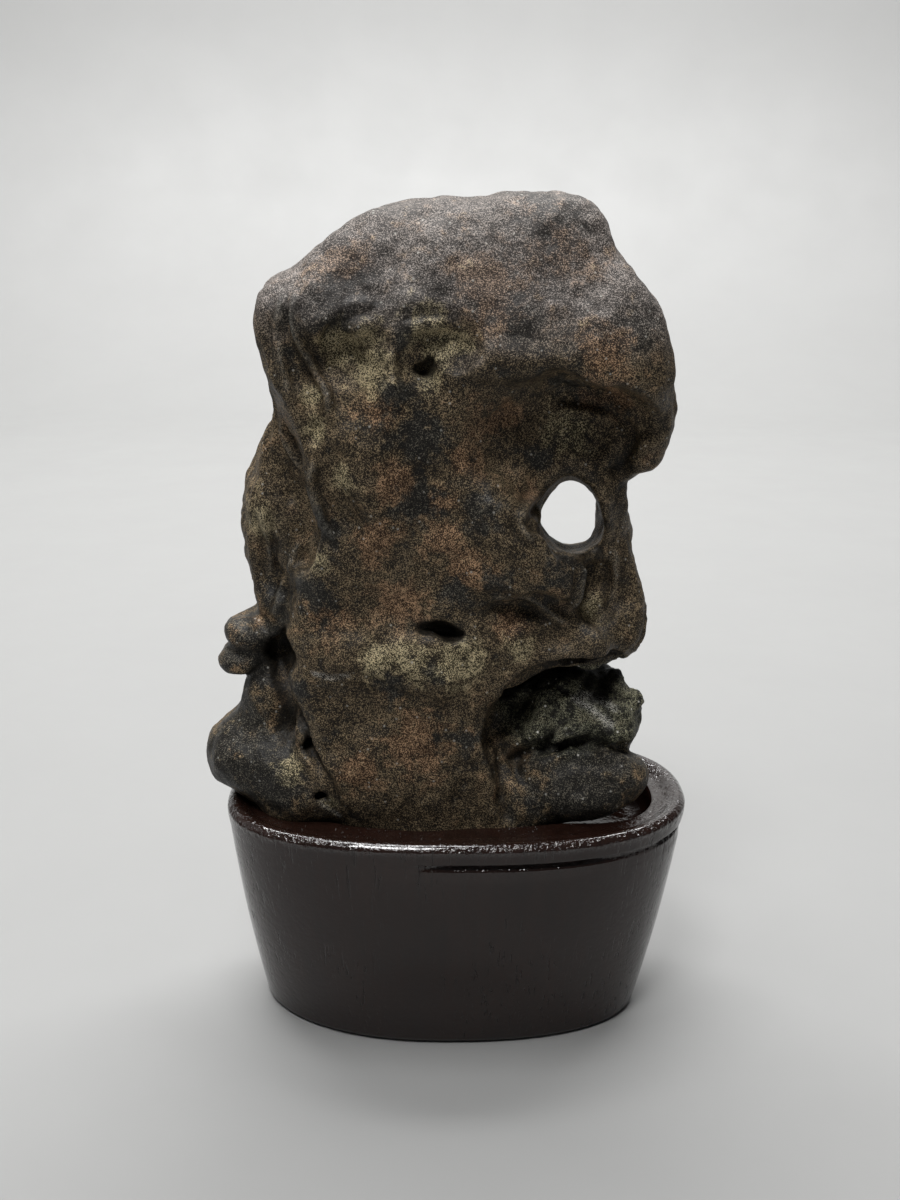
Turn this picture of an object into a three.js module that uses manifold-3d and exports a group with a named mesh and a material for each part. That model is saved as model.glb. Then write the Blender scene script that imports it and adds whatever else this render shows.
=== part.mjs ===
// A scholar's rock in its fitted, lacquered wooden stand.
// Millimetres, +Z up. The origin is the centre of the stand's flat bottom and the front faces -Y.
import * as THREE from 'three';
import Module from 'manifold-3d';

// Stone: how finely it is cut, and the flat of its foot
const ROCK_CELL = 3;
const ROCK_FACES = 7400;
const ROCK_LOW = [-98, -42, 66];
const ROCK_HIGH = [84, 50, 308];
const FOOT_Z = 74;

// Stone: depth of the four plates it is blended from (middle, half depth, rounding of the edge)
const CAP_PLATE = { mid: 4, half: 33, round: 17, roundTop: 28 };
const BODY_PLATE = { mid: 5, half: 29, round: 12, roundOverhang: 5 };
const WEB_PLATE = { mid: 8, half: 22, halfStrand: 15, round: 9 };
const SLAB_PLATE = { mid: 14, half: 20, round: 12 };
const PLATE_BLEND = { body: 9, web: 6, slab: 8 };

// Stone: slanted front of the cap, through a depth and a height, tilted up from facing forwards
const FOREHEAD = { y: -31, z: 254, tilt: THREE.MathUtils.degToRad(26), blend: 9 };

// Stone: uneven weathering, as size of the swellings and their height
const SWELL = { size: 26, height: 1.9, shift: 5.1 };
const RIPPLE = { size: 12, height: 1.3, shift: 11.3 };

// Stand: heights
const LEDGE_Z = 85;
const RIM_Z = 88;
const RIM_ROUND = 2.6;
const BEAD_Z = 78.5;

// Stand: plan, half sizes at the bottom and at the rim, and how square the two ends are
const BOTTOM = { x: 0, halfX: 72.5, halfY: 37.5, squareLeft: 2, squareRight: 2.5 };
const RIM = { x: 2.5, halfX: 85.5, halfY: 46, squareLeft: 2.7, squareRight: 2.4 };
const BOTTOM_EDGE = 3;
const BEAD_STEP = 2.4;
const LEDGE_DROP = 9;
const STAND_SIDES = 48;

// Stand: socket round the stone's foot, and the wider hollow beside the knuckle
const SOCKET_GAP = 1.5;
const SOCKET_CELL = 4.2;
const SOCKET_FACES = 1200;
const SOCKET_TOP = 97;
const HOLLOW = { centre: [53, 0, 86.5], radii: [25, 24, 9] };

/** An egg-shaped lump or hollow, turned about X, Y and Z in degrees. */
function lump(centre, radii, blend, turn = [0, 0, 0]) {
  const angles = turn.map(THREE.MathUtils.degToRad);
  const frame = new THREE.Matrix4().makeRotationFromEuler(new THREE.Euler(...angles, 'ZYX'));
  return { centre, radii, blend, axes: frame.elements };
}

/** A strip of tube through points given as x, y, z and radius. */
function strip(points, blend) {
  return { points, blend };
}

// Outlines of the plates seen from the front, as x and z
const CAP = smoothOutline([
  [-57, 269], [-46, 280], [-32, 289], [-16, 295], [0, 298], [16, 299.5], [29, 300], [41, 298],
  [50, 293], [55.5, 284], [63, 274], [69, 264], [71.5, 251], [74, 240], [74.5, 230], [73, 221],
  [70, 214], [64, 211], [54, 218], [42, 228], [22, 237], [2, 245], [-18, 247], [-38, 242],
  [-54, 237], [-59, 243], [-60.5, 252], [-58, 262],
]);
const BODY = smoothOutline([
  [-54, 234], [-49, 222], [-44, 212], [-42, 198], [-44, 185], [-52, 175], [-56, 167], [-58, 155],
  [-58, 148], [-57, 129], [-53, 113], [-48, 97], [-42, 83], [-40, 60], [21, 60], [20, 87],
  [18, 105], [14, 119], [14, 129], [28, 137], [43, 145], [56, 148], [54, 160], [44, 166],
  [42, 176], [38, 186], [32, 195], [31, 203], [34, 215], [38, 228], [32, 245], [-8, 255], [-43, 250],
]);
const WEB = smoothOutline([
  [22, 240], [62, 235], [64, 211], [59, 207], [60, 203], [62, 192], [65, 178], [68, 164],
  [68.5, 153], [66, 143], [60, 139], [32, 140], [22, 150],
]);
const SLAB = smoothOutline([
  [-48, 236], [-56, 231], [-62, 225], [-67, 216], [-71, 203], [-73, 192], [-73, 178], [-71, 165],
  [-69, 153], [-64, 140], [-38, 140], [-33, 190], [-38, 236],
]);

const LUMPS = [
  // lobe and neck low on the left
  lump([-71, 4, 102.5], [21, 23, 16.5], 5),
  lump([-55, 0, 93], [20, 23, 17], 9),
  lump([-65, 6, 124], [12, 17, 19], 8, [0, 8, 0]),
  // knob of two buns above the neck
  lump([-72, 4, 149], [9.5, 13, 6.5], 3, [0, 12, 0]),
  lump([-74, 4, 140], [10, 12, 6.2], 2.5, [0, -8, 0]),
  lump([-62, 9, 144], [12, 15, 13], 6),
  // crust and smooth knuckle low on the right
  lump([44, 5, 111], [27, 23, 27], 3),
  lump([56, 4, 118], [13, 16, 15], 5),
  lump([49, -10, 97], [25, 17, 14.5], 2.5, [0, -5, 0]),
  lump([24, -4, 86], [18, 19, 14], 7),
  // belly, skirt and cheek of the front
  lump([-18, -13, 147], [36, 17, 14], 9, [0, 6, 0]),
  lump([-14, -7, 105], [35, 20, 40], 10),
  lump([50, -2, 152], [18, 15, 10], 6, [0, -4, 0]),
  lump([-28, -10, 205], [15, 18, 30], 10, [0, -6, 0]),
  lump([14, -9, 195], [13, 18, 28], 10, [0, 8, 0]),
  lump([27, -12, 180], [15, 15, 20], 8, [0, 6, 0]),
  // corner and crown of the cap
  lump([-55, 2, 268], [6, 9, 6], 4),
  lump([12, 14, 283], [38, 18, 14], 10, [0, 4, 0]),
  lump([8, -10, 272], [42, 16, 18], 12, [0, 4, 0]),
];
const RIDGES = [
  // brow under the cap and the post between its two hollows
  strip([
    [-52, -14, 262, 8], [-20, -23, 264, 8], [7, -23, 254, 8], [22, -22, 252, 8], [40, -21, 252, 8],
    [55, -15, 247, 8], [65, -6, 233, 7],
  ], 8),
  strip([[-20, -25, 260, 4.5], [-18, -25, 244, 5]], 7),
  // edge beside the recess under the hole
  strip([[35, -17, 192, 7], [38, -18.5, 168, 7.5]], 5),
  // two folds down the left flank
  strip([
    [-52, -8, 266, 7], [-50, -12, 250, 7], [-45, -15, 236, 7], [-40, -18, 222, 7], [-38, -19, 206, 7],
    [-41, -18, 192, 7], [-48, -15, 178, 7],
  ], 7),
  strip([[-54, 4, 252, 6], [-50, -1, 232, 7], [-48, -4, 214, 7], [-50, -5, 196, 8], [-53, -6, 180, 8]], 6),
  // folds down the back
  strip([[24, 30, 272, 8], [12, 33, 246, 9], [10, 33, 214, 9], [-2, 33, 190, 9], [-6, 33, 166, 8]], 9),
  strip([[-38, 28, 262, 7], [-48, 27, 236, 7], [-58, 24, 210, 7], [-60, 24, 180, 7]], 8),
  strip([[2, 32, 140, 9], [-10, 30, 112, 9], [-12, 26, 86, 9]], 9),
];
const HOLLOWS = [
  // two hollows under the brow, the second with a pit
  lump([-33, -31, 250], [14, 11, 10], 2.5, [0, 25, 0]),
  lump([-30, -33, 241], [9, 11, 14], 5, [0, -18, 0]),
  lump([-24, -32, 256], [7, 9, 6], 2),
  lump([-2, -31.5, 254], [13, 10, 9], 2.5, [0, 15, 0]),
  lump([-7, -32.5, 244], [8, 10.5, 10], 4, [0, -12, 0]),
  lump([-7.5, -22, 247.5], [3, 5.5, 2.8], 1, [0, 25, 0]),
  // cove under the cap, mouth of the hole and the hole itself
  lump([40, -25, 222], [33, 16.5, 23], 7, [0, 10, 0]),
  lump([46, -20, 236], [18, 12, 8], 4, [0, 14, 0]),
  lump([42, -22, 196], [14, 14.5, 12.5], 4),
  lump([43, 0, 193.5], [11.2, 60, 12.3], 3, [-15, 0, -6]),
  // slit in the belly
  lump([-2.5, -24, 159], [7.5, 10, 3.4], 1, [-28, 12, 0]),
  lump([-8, -25.5, 159.5], [5.5, 7, 2.6], 1.2, [-28, -4, 0]),
  // recess between the strand and the body
  lump([51, -12, 169], [6.6, 7.5, 11], 2, [8, 0, 6]),
  lump([52, -13, 160.5], [4.5, 6.5, 4.5], 2, [0, 20, 0]),
  // dark recess behind the overhang
  lump([21, -17, 122], [10, 16, 12], 1.5, [0, 35, 0]),
  // small holes beside the skirt and the knob
  lump([19.5, -20, 109], [3, 10, 4.5], 2, [0, 20, 0]),
  lump([-52, -16, 113], [4, 9, 4], 2),
  lump([-45, -19, 96], [5, 8, 4.5], 2),
  lump([-60, -8, 146], [5, 11, 6], 2.5),
  // hollows in the back
  lump([-16, 40, 236], [23, 15, 20], 9, [0, 20, 0]),
  lump([36, 36, 188], [20, 18, 20], 7),
  lump([-24, 40, 150], [18, 13, 26], 9, [0, -15, 0]),
  lump([28, 40, 118], [16, 14, 14], 7),
];
const GROOVES = [
  // side of the body by the strand
  strip([[50.5, -14, 187, 6], [51, -14, 164, 6]], 1.5),
  // scalloped fold of the cheek
  strip([
    [10, -30, 163, 8], [18.3, -29, 165, 9], [27, -29.5, 165.5, 9], [33, -28, 161.2, 9],
    [40, -26.5, 157.9, 9],
  ], 3),
  // scalloped valleys down the left flank
  strip([
    [-56, -30, 262, 9], [-51.5, -31.5, 251.7, 9], [-46.3, -29.5, 241.3, 9], [-43.4, -29.8, 232, 9],
    [-46, -31, 222, 8],
  ], 2.5),
  strip([
    [-57.6, -12.8, 213, 9], [-54.4, -15.4, 202.7, 9], [-51.6, -17.6, 194.5, 9], [-55, -17.2, 186, 9],
  ], 3),
  strip([[-65.7, -9, 182, 8], [-67.2, -8.4, 167, 8]], 3),
  strip([[-40.5, -34.5, 217, 10], [-40.9, -33, 206.4, 10], [-37.2, -33.4, 194, 10]], 4),
  // gap under the overhang
  strip([[22, -20, 135, 3.2], [30, -19, 139.5, 2.8], [40, -17, 144, 2.4], [50, -13, 146.5, 2.2]], 1),
  // gaps round the knuckle
  strip([
    [21, -17, 107, 3], [30, -18, 110.5, 3], [40, -19, 113.5, 3], [50, -19, 114, 3], [60, -17, 113, 2.5],
  ], 1.5),
  strip([[16, -20, 114, 3], [17.2, -21.5, 105, 3], [18, -23.5, 97, 2.2]], 1.5),
  // gap between the body and the lobe on the left
  strip([
    [-60, -6, 139, 3], [-56, -14, 131, 3], [-52.5, -19.5, 122, 3], [-50, -21.5, 113, 3],
    [-45, -25, 104, 2.5], [-42.5, -25.5, 97, 2.5],
  ], 2),
];

/** Closed smooth curve through the given x and z points, as short straight edges. */
function smoothOutline(points) {
  const corners = points.map(([x, z]) => new THREE.Vector3(x, 0, z));
  const curve = new THREE.CatmullRomCurve3(corners, true, 'catmullrom', 0.5);
  return curve.getPoints(points.length * 4).map((point) => [point.x, point.z]);
}

/** Smaller of two distances, rounded where they meet. */
function soften(a, b, blend) {
  const overlap = Math.max(blend - Math.abs(a - b), 0) / blend;
  return Math.min(a, b) - 0.25 * overlap * overlap * blend;
}

/** Cuts one distance by another, rounded where they meet. */
function carve(a, cut, blend) {
  return -soften(-a, cut, blend);
}

/** Distance from a point to an outline, negative inside it. */
function outlineDistance(outline, x, z) {
  let nearest = Infinity;
  let inside = false;
  for (let i = 1; i < outline.length; i += 1) {
    const [ax, az] = outline[i - 1];
    const [bx, bz] = outline[i];
    const [ex, ez] = [bx - ax, bz - az];
    const [wx, wz] = [x - ax, z - az];
    const along = THREE.MathUtils.clamp((wx * ex + wz * ez) / (ex * ex + ez * ez), 0, 1);
    nearest = Math.min(nearest, (wx - ex * along) ** 2 + (wz - ez * along) ** 2);
    if (az > z !== bz > z && x < (ex * (z - az)) / ez + ax) {
      inside = !inside;
    }
  }
  return inside ? -Math.sqrt(nearest) : Math.sqrt(nearest);
}

/** Distance to a plate of given half depth and rounded edge over a flat outline distance. */
function plateDistance(flat, y, mid, half, round) {
  const across = flat + round;
  const deep = Math.abs(y - mid) - half + round;
  const corner = Math.hypot(Math.max(across, 0), Math.max(deep, 0));
  return Math.min(Math.max(across, deep), 0) + corner - round;
}

/** Distance to an egg-shaped lump, close to true near its surface. */
function lumpDistance({ centre, radii, axes }, x, y, z) {
  const [dx, dy, dz] = [x - centre[0], y - centre[1], z - centre[2]];
  let size = 0;
  let slope = 0;
  for (let i = 0; i < 3; i += 1) {
    const local = axes[4 * i] * dx + axes[4 * i + 1] * dy + axes[4 * i + 2] * dz;
    size += (local / radii[i]) ** 2;
    slope += (local / (radii[i] * radii[i])) ** 2;
  }
  size = Math.sqrt(size);
  return (size * (size - 1)) / Math.max(Math.sqrt(slope), 1e-6);
}

/** Distance to a strip of tube. */
function stripDistance({ points }, x, y, z) {
  let nearest = Infinity;
  for (let i = 1; i < points.length; i += 1) {
    const [a, b] = [points[i - 1], points[i]];
    const edge = [b[0] - a[0], b[1] - a[1], b[2] - a[2]];
    const from = [x - a[0], y - a[1], z - a[2]];
    const length = edge[0] ** 2 + edge[1] ** 2 + edge[2] ** 2;
    const dot = edge[0] * from[0] + edge[1] * from[1] + edge[2] * from[2];
    const along = THREE.MathUtils.clamp(dot / length, 0, 1);
    const off = Math.hypot(from[0] - edge[0] * along, from[1] - edge[1] * along, from[2] - edge[2] * along);
    nearest = Math.min(nearest, off - a[3] - (b[3] - a[3]) * along);
  }
  return nearest;
}

/** Fixed pseudo-random value of a lattice corner, 0 to 1. */
function cornerValue(i, j, k) {
  const value = Math.sin(i * 127.1 + j * 311.7 + k * 74.7) * 43758.5453;
  return value - Math.floor(value);
}

/** Smooth swellings of the given size, -1 to 1. */
function swelling(x, y, z, size, shift) {
  const place = [x, y, z].map((value) => value / size + shift);
  const cell = place.map(Math.floor);
  const ease = place.map((value, i) => THREE.MathUtils.smootherstep(value - cell[i], 0, 1));
  let total = 0;
  for (let corner = 0; corner < 8; corner += 1) {
    const bits = [corner & 1, (corner >> 1) & 1, corner >> 2];
    const weight = bits.reduce((product, bit, i) => product * (bit ? ease[i] : 1 - ease[i]), 1);
    total += weight * cornerValue(cell[0] + bits[0], cell[1] + bits[1], cell[2] + bits[2]);
  }
  return 2 * total - 1;
}

/** Distances to the four plates' outlines at one x and z. */
function flatDistances(x, z) {
  return [CAP, BODY, WEB, SLAB].map((outline) => outlineDistance(outline, x, z));
}

/** Distance to the stone's surface, negative inside. */
function rockDistance(x, y, z, flat = flatDistances(x, z)) {
  const { smoothstep, lerp } = THREE.MathUtils;
  const capRound = lerp(CAP_PLATE.round, CAP_PLATE.roundTop, smoothstep(z, 240, 284));
  const overhang = smoothstep(x, 4, 18) * (1 - smoothstep(z, 146, 166));
  const bodyRound = lerp(BODY_PLATE.round, BODY_PLATE.roundOverhang, overhang);
  const webHalf = lerp(WEB_PLATE.half, WEB_PLATE.halfStrand, smoothstep(x, 44, 60));
  let distance = plateDistance(flat[0], y, CAP_PLATE.mid, CAP_PLATE.half, capRound);
  const body = plateDistance(flat[1], y, BODY_PLATE.mid, BODY_PLATE.half, bodyRound);
  const web = plateDistance(flat[2], y, WEB_PLATE.mid, webHalf, WEB_PLATE.round);
  const slab = plateDistance(flat[3], y, SLAB_PLATE.mid, SLAB_PLATE.half, SLAB_PLATE.round);
  distance = soften(distance, body, PLATE_BLEND.body);
  distance = soften(distance, web, PLATE_BLEND.web);
  distance = soften(distance, slab, PLATE_BLEND.slab);
  for (const piece of LUMPS) {
    distance = soften(distance, lumpDistance(piece, x, y, z), piece.blend);
  }
  for (const piece of RIDGES) {
    distance = soften(distance, stripDistance(piece, x, y, z), piece.blend);
  }
  const { y: slopeY, z: slopeZ, tilt, blend } = FOREHEAD;
  const behind = (y - slopeY) * Math.cos(tilt) - (z - slopeZ) * Math.sin(tilt);
  distance = carve(distance, behind, blend);
  for (const piece of HOLLOWS) {
    distance = carve(distance, lumpDistance(piece, x, y, z), piece.blend);
  }
  for (const piece of GROOVES) {
    distance = carve(distance, stripDistance(piece, x, y, z), piece.blend);
  }
  distance += SWELL.height * swelling(x, y, z, SWELL.size, SWELL.shift);
  distance += RIPPLE.height * swelling(x, y, z, RIPPLE.size, RIPPLE.shift);
  return Math.max(distance, FOOT_Z - z);
}

/** Distance to the hollow cut for the stone: its foot with a gap, and the wider pocket by the knuckle. */
function socketDistance(x, y, z, flat) {
  const pocket = lumpDistance(lump(HOLLOW.centre, HOLLOW.radii, 0), x, y, z);
  return Math.max(soften(rockDistance(x, y, z, flat) - SOCKET_GAP, pocket, 2), z - SOCKET_TOP);
}

/** Distances on a regular lattice over a box. */
function sampleLattice(distance, low, high, cell) {
  const count = low.map((from, axis) => Math.ceil((high[axis] - from) / cell) + 1);
  const values = new Float64Array(count[0] * count[1] * count[2]);
  for (let i = 0; i < count[0]; i += 1) {
    for (let k = 0; k < count[2]; k += 1) {
      const [x, z] = [low[0] + i * cell, low[2] + k * cell];
      const flat = flatDistances(x, z);
      for (let j = 0; j < count[1]; j += 1) {
        values[(i * count[1] + j) * count[2] + k] = distance(x, low[1] + j * cell, z, flat);
      }
    }
  }
  return { values, low, cell, count, strides: [count[1] * count[2], count[2], 1] };
}

/** Calls back with the index of every lattice cell's lowest corner. */
function eachCell({ count, strides }, visit) {
  for (let i = 0; i < count[0] - 1; i += 1) {
    for (let j = 0; j < count[1] - 1; j += 1) {
      for (let k = 0; k < count[2] - 1; k += 1) {
        visit(i * strides[0] + j * strides[1] + k, [i, j, k]);
      }
    }
  }
}

/** Fills lattice corners until no two parts of the solid touch only along an edge or at a point. */
function closePinches(lattice) {
  const { values, strides } = lattice;
  const offsets = [0, 1, 2, 3, 4, 5, 6, 7].map(
    (bits) => (bits & 1) * strides[0] + ((bits >> 1) & 1) * strides[1] + (bits >> 2) * strides[2],
  );
  const fill = (first, second) => {
    const target = values[first] < values[second] ? first : second;
    values[target] = -1e-3;
  };
  let changed = true;
  const mend = (base) => {
    for (const [u, v] of [[1, 2], [2, 4], [1, 4]]) {
      for (const side of [0, 7 - u - v]) {
        const ring = [side, side + u, side + u + v, side + v].map((bits) => base + offsets[bits]);
        const solid = ring.map((index) => values[index] < 0);
        if (solid[0] === solid[2] && solid[1] === solid[3] && solid[0] !== solid[1]) {
          fill(...(solid[0] ? [ring[1], ring[3]] : [ring[0], ring[2]]));
          changed = true;
        }
      }
    }
    for (let bits = 0; bits < 4; bits += 1) {
      const pair = [base + offsets[bits], base + offsets[7 - bits]];
      const solid = offsets.filter((offset) => values[base + offset] < 0).length;
      const paired = pair.filter((index) => values[index] < 0).length;
      if (solid === 6 && paired === 0) {
        fill(...pair);
        changed = true;
      }
      if (solid === 2 && paired === 2) {
        values[base + offsets[bits ^ 1]] = -1e-3;
        changed = true;
      }
    }
  };
  while (changed) {
    changed = false;
    eachCell(lattice, mend);
  }
}

/** Closed surface of a distance over a box, one point to each lattice cell it passes through. */
function polygonise(distance, low, high, cell) {
  const lattice = sampleLattice(distance, low, high, cell);
  closePinches(lattice);
  const { values, count, strides } = lattice;
  const points = [];
  const faces = [];
  const pointOf = new Int32Array(values.length).fill(-1);
  eachCell(lattice, (base, place) => {
    const sum = new THREE.Vector3();
    let crossings = 0;
    for (let axis = 0; axis < 3; axis += 1) {
      const [u, v] = [(axis + 1) % 3, (axis + 2) % 3];
      for (let bits = 0; bits < 4; bits += 1) {
        const start = base + (bits & 1) * strides[u] + (bits >> 1) * strides[v];
        const [a, b] = [values[start], values[start + strides[axis]]];
        if (a < 0 !== b < 0) {
          const corner = new THREE.Vector3();
          corner.setComponent(axis, a / (a - b));
          corner.setComponent(u, bits & 1);
          corner.setComponent(v, bits >> 1);
          sum.add(corner);
          crossings += 1;
        }
      }
    }
    if (crossings > 0) {
      pointOf[base] = points.length;
      points.push(sum.divideScalar(crossings).toArray().map((t, i) => low[i] + (place[i] + t) * cell));
    }
  });
  eachCell(lattice, (base, place) => {
    for (let axis = 0; axis < 3; axis += 1) {
      const [u, v] = [(axis + 1) % 3, (axis + 2) % 3];
      const startsIn = values[base] < 0;
      if (place[u] > 0 && place[v] > 0 && startsIn !== values[base + strides[axis]] < 0) {
        const ring = [base - strides[u] - strides[v], base - strides[v], base, base - strides[u]];
        const quad = ring.map((index) => pointOf[index]);
        pushQuad(faces, points, startsIn ? quad : quad.reverse());
      }
    }
  });
  return { points, faces };
}

/** Adds a four-cornered patch as two faces, split along its shorter diagonal. */
function pushQuad(faces, points, [a, b, c, d]) {
  const span = (from, to) => Math.hypot(...points[from].map((value, i) => value - points[to][i]));
  if (span(a, c) <= span(b, d)) {
    faces.push([a, b, c], [a, c, d]);
  } else {
    faces.push([b, c, d], [b, d, a]);
  }
}

/** Moves points straight onto the surface of a distance. */
function settle(points, distance, reach) {
  const probe = 0.35;
  return points.map(([x, y, z]) => {
    const slope = new THREE.Vector3(
      distance(x + probe, y, z) - distance(x - probe, y, z),
      distance(x, y + probe, z) - distance(x, y - probe, z),
      distance(x, y, z + probe) - distance(x, y, z - probe),
    ).divideScalar(2 * probe);
    const step = slope.multiplyScalar(-distance(x, y, z) / Math.max(slope.lengthSq(), 0.15));
    step.clampLength(0, reach);
    return [x + step.x, y + step.y, z + step.z];
  });
}

/** Flat plane of a face as unit normal, offset and area. */
function facePlane(a, b, c) {
  const [u, v] = [b.map((value, i) => value - a[i]), c.map((value, i) => value - a[i])];
  const cross = [u[1] * v[2] - u[2] * v[1], u[2] * v[0] - u[0] * v[2], u[0] * v[1] - u[1] * v[0]];
  const length = Math.hypot(...cross) || 1e-12;
  const normal = cross.map((value) => value / length);
  return { normal, offset: -(normal[0] * a[0] + normal[1] * a[1] + normal[2] * a[2]), area: length / 2 };
}

/** Folds away the edges that bend the surface least, until about `goal` faces are left. */
function thin({ points, faces }, goal) {
  const spots = points.map((point) => [...point]);
  const rings = points.map(() => new Set());
  const planes = points.map(() => []);
  const live = faces.map((face) => [...face]);
  let left = live.length;
  live.forEach((face, index) => {
    const plane = facePlane(...face.map((corner) => spots[corner]));
    for (const corner of face) {
      rings[corner].add(index);
      planes[corner].push(plane);
    }
  });
  const bending = (list, spot) => list.reduce((sum, { normal, offset, area }) => {
    const gap = normal[0] * spot[0] + normal[1] * spot[1] + normal[2] * spot[2] + offset;
    return sum + area * gap * gap;
  }, 0);
  const neighbours = (corner) => {
    const found = new Set([...rings[corner]].flatMap((index) => live[index]));
    found.delete(corner);
    return found;
  };
  const turnsOver = (corner, other, spot) => [...rings[corner]].some((index) => {
    const face = live[index];
    if (face.includes(other)) {
      return false;
    }
    const before = facePlane(...face.map((c) => spots[c]));
    const after = facePlane(...face.map((c) => (c === corner ? spot : spots[c])));
    const dot = before.normal.reduce((sum, value, i) => sum + value * after.normal[i], 0);
    return dot < 0.35 || after.area < 0.4;
  });
  const fold = (keep, drop, spot) => {
    for (const index of rings[drop]) {
      const face = live[index];
      if (face.includes(keep)) {
        face.forEach((corner) => rings[corner].delete(index));
        live[index] = null;
        left -= 1;
      } else {
        face[face.indexOf(drop)] = keep;
        rings[keep].add(index);
      }
    }
    rings[drop] = new Set();
    spots[keep] = spot;
    planes[keep] = [...planes[keep], ...planes[drop]];
  };
  for (let pass = 0; pass < 40 && left > goal; pass += 1) {
    const edges = [];
    live.filter(Boolean).forEach((face) => face.forEach((a, i) => {
      const b = face[(i + 1) % 3];
      if (a < b) {
        const middle = spots[a].map((value, axis) => (value + spots[b][axis]) / 2);
        const both = [...planes[a], ...planes[b]];
        const choices = [middle, spots[a], spots[b]].map((spot) => ({ spot, cost: bending(both, spot) }));
        choices.sort((first, second) => first.cost - second.cost);
        edges.push({ a, b, ...choices[0] });
      }
    }));
    edges.sort((first, second) => first.cost - second.cost);
    const touched = new Set();
    for (const { a, b, spot } of edges.slice(0, edges.length / 4)) {
      const [ringA, ringB] = [neighbours(a), neighbours(b)];
      const shared = [...ringA].filter((corner) => ringB.has(corner));
      const free = ![a, b, ...shared].some((corner) => touched.has(corner));
      if (left > goal && free && shared.length === 2 && !turnsOver(a, b, spot) && !turnsOver(b, a, spot)) {
        fold(a, b, spot);
        [a, ...ringA, ...ringB].forEach((corner) => touched.add(corner));
      }
    }
  }
  const kept = new Map();
  const renumber = (corner) => {
    if (!kept.has(corner)) {
      kept.set(corner, kept.size);
    }
    return kept.get(corner);
  };
  const thinned = live.filter(Boolean).map((face) => face.map(renumber));
  return { points: [...kept.keys()].map((corner) => spots[corner]), faces: thinned };
}

/** Plan of the stand at one level: a rounded oblong, squarer at one end than the other. */
function planPoint(angle, level, inset) {
  const { lerp } = THREE.MathUtils;
  const [c, s] = [Math.cos(angle), Math.sin(angle)];
  const size = (key) => lerp(BOTTOM[key], RIM[key], level);
  const square = lerp(size('squareLeft'), size('squareRight'), (1 + c) / 2);
  const reach = (value) => Math.sign(value) * Math.abs(value) ** (2 / square);
  return [size('x') + (size('halfX') - inset) * reach(c), (size('halfY') - inset) * reach(s)];
}

/** How far the rolled rim stands out over the side: most at the right end, not at all on the left. */
function beadStep(angle) {
  return BEAD_STEP * THREE.MathUtils.smoothstep(Math.cos(angle), -0.1, 0.9);
}

/** Closed skin of the stand before its socket is cut, ring by ring from the bottom to the ledge. */
function standSkin() {
  const rings = [
    { z: 0, level: 0, inset: BOTTOM_EDGE },
    { z: BOTTOM_EDGE * 0.35, level: 0.02, inset: BOTTOM_EDGE * 0.3 },
    { z: BOTTOM_EDGE * 1.2, level: 0.05, inset: 0 },
    { z: 30, level: 0.4, inset: -0.6 },
    { z: 56, level: 0.74, inset: -0.8 },
    { z: BEAD_Z - 6, level: 0.94, inset: -0.4 },
    { z: BEAD_Z - 1.5, level: 0.98, inset: 0, bead: 1 },
    { z: BEAD_Z, level: 1, inset: 0.3, bead: 1 },
    { z: BEAD_Z + 1.5, level: 1, inset: 0 },
    { z: RIM_Z - RIM_ROUND, level: 1, inset: 0 },
    { z: RIM_Z - RIM_ROUND * 0.3, level: 1, inset: RIM_ROUND * 0.3 },
    { z: RIM_Z, level: 1, inset: RIM_ROUND },
    { z: RIM_Z - 0.3, level: 1, inset: RIM_ROUND + 1.8 },
    { z: LEDGE_Z + 0.6, level: 1, inset: RIM_ROUND + 4.5 },
    { z: LEDGE_Z, level: 1, inset: RIM_ROUND + LEDGE_DROP },
  ];
  const points = [];
  const faces = [];
  for (const { z, level, inset, bead = 0 } of rings) {
    for (let side = 0; side < STAND_SIDES; side += 1) {
      const angle = (2 * Math.PI * side) / STAND_SIDES;
      points.push([...planPoint(angle, level, inset + bead * beadStep(angle)), z]);
    }
  }
  const corner = (ring, side) => ring * STAND_SIDES + (side % STAND_SIDES);
  for (let ring = 0; ring < rings.length - 1; ring += 1) {
    for (let side = 0; side < STAND_SIDES; side += 1) {
      const low = [corner(ring, side), corner(ring, side + 1)];
      const high = [corner(ring + 1, side), corner(ring + 1, side + 1)];
      faces.push([low[0], low[1], high[1]], [low[0], high[1], high[0]]);
    }
  }
  const bottom = points.push([BOTTOM.x, 0, 0]) - 1;
  const top = points.push([RIM.x, 0, LEDGE_Z]) - 1;
  for (let side = 0; side < STAND_SIDES; side += 1) {
    faces.push([bottom, corner(0, side + 1), corner(0, side)]);
    faces.push([top, corner(rings.length - 1, side), corner(rings.length - 1, side + 1)]);
  }
  return { points, faces };
}

/** One named piece of the part. */
function piece(name, { points, faces }, material) {
  const geometry = new THREE.BufferGeometry();
  geometry.setAttribute('position', new THREE.Float32BufferAttribute(points.flat(), 3));
  geometry.setIndex(faces.flat());
  geometry.computeVertexNormals();
  const mesh = new THREE.Mesh(geometry, material);
  mesh.name = name;
  return mesh;
}

const wasm = await Module();
wasm.setup();

/** Solid body of a skin, for cutting. */
function solidOf({ points, faces }) {
  const vertProperties = new Float32Array(points.flat());
  const triVerts = new Uint32Array(faces.flat());
  return new wasm.Manifold(new wasm.Mesh({ numProp: 3, vertProperties, triVerts }));
}

/** Skin of a solid body after cutting. */
function skinOf(solid) {
  const { vertProperties, triVerts } = solid.getMesh();
  const points = Array.from({ length: vertProperties.length / 3 }, (_, i) => [
    ...vertProperties.slice(3 * i, 3 * i + 3),
  ]);
  const faces = Array.from({ length: triVerts.length / 3 }, (_, i) => [
    ...triVerts.slice(3 * i, 3 * i + 3),
  ]);
  return { points, faces };
}

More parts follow.
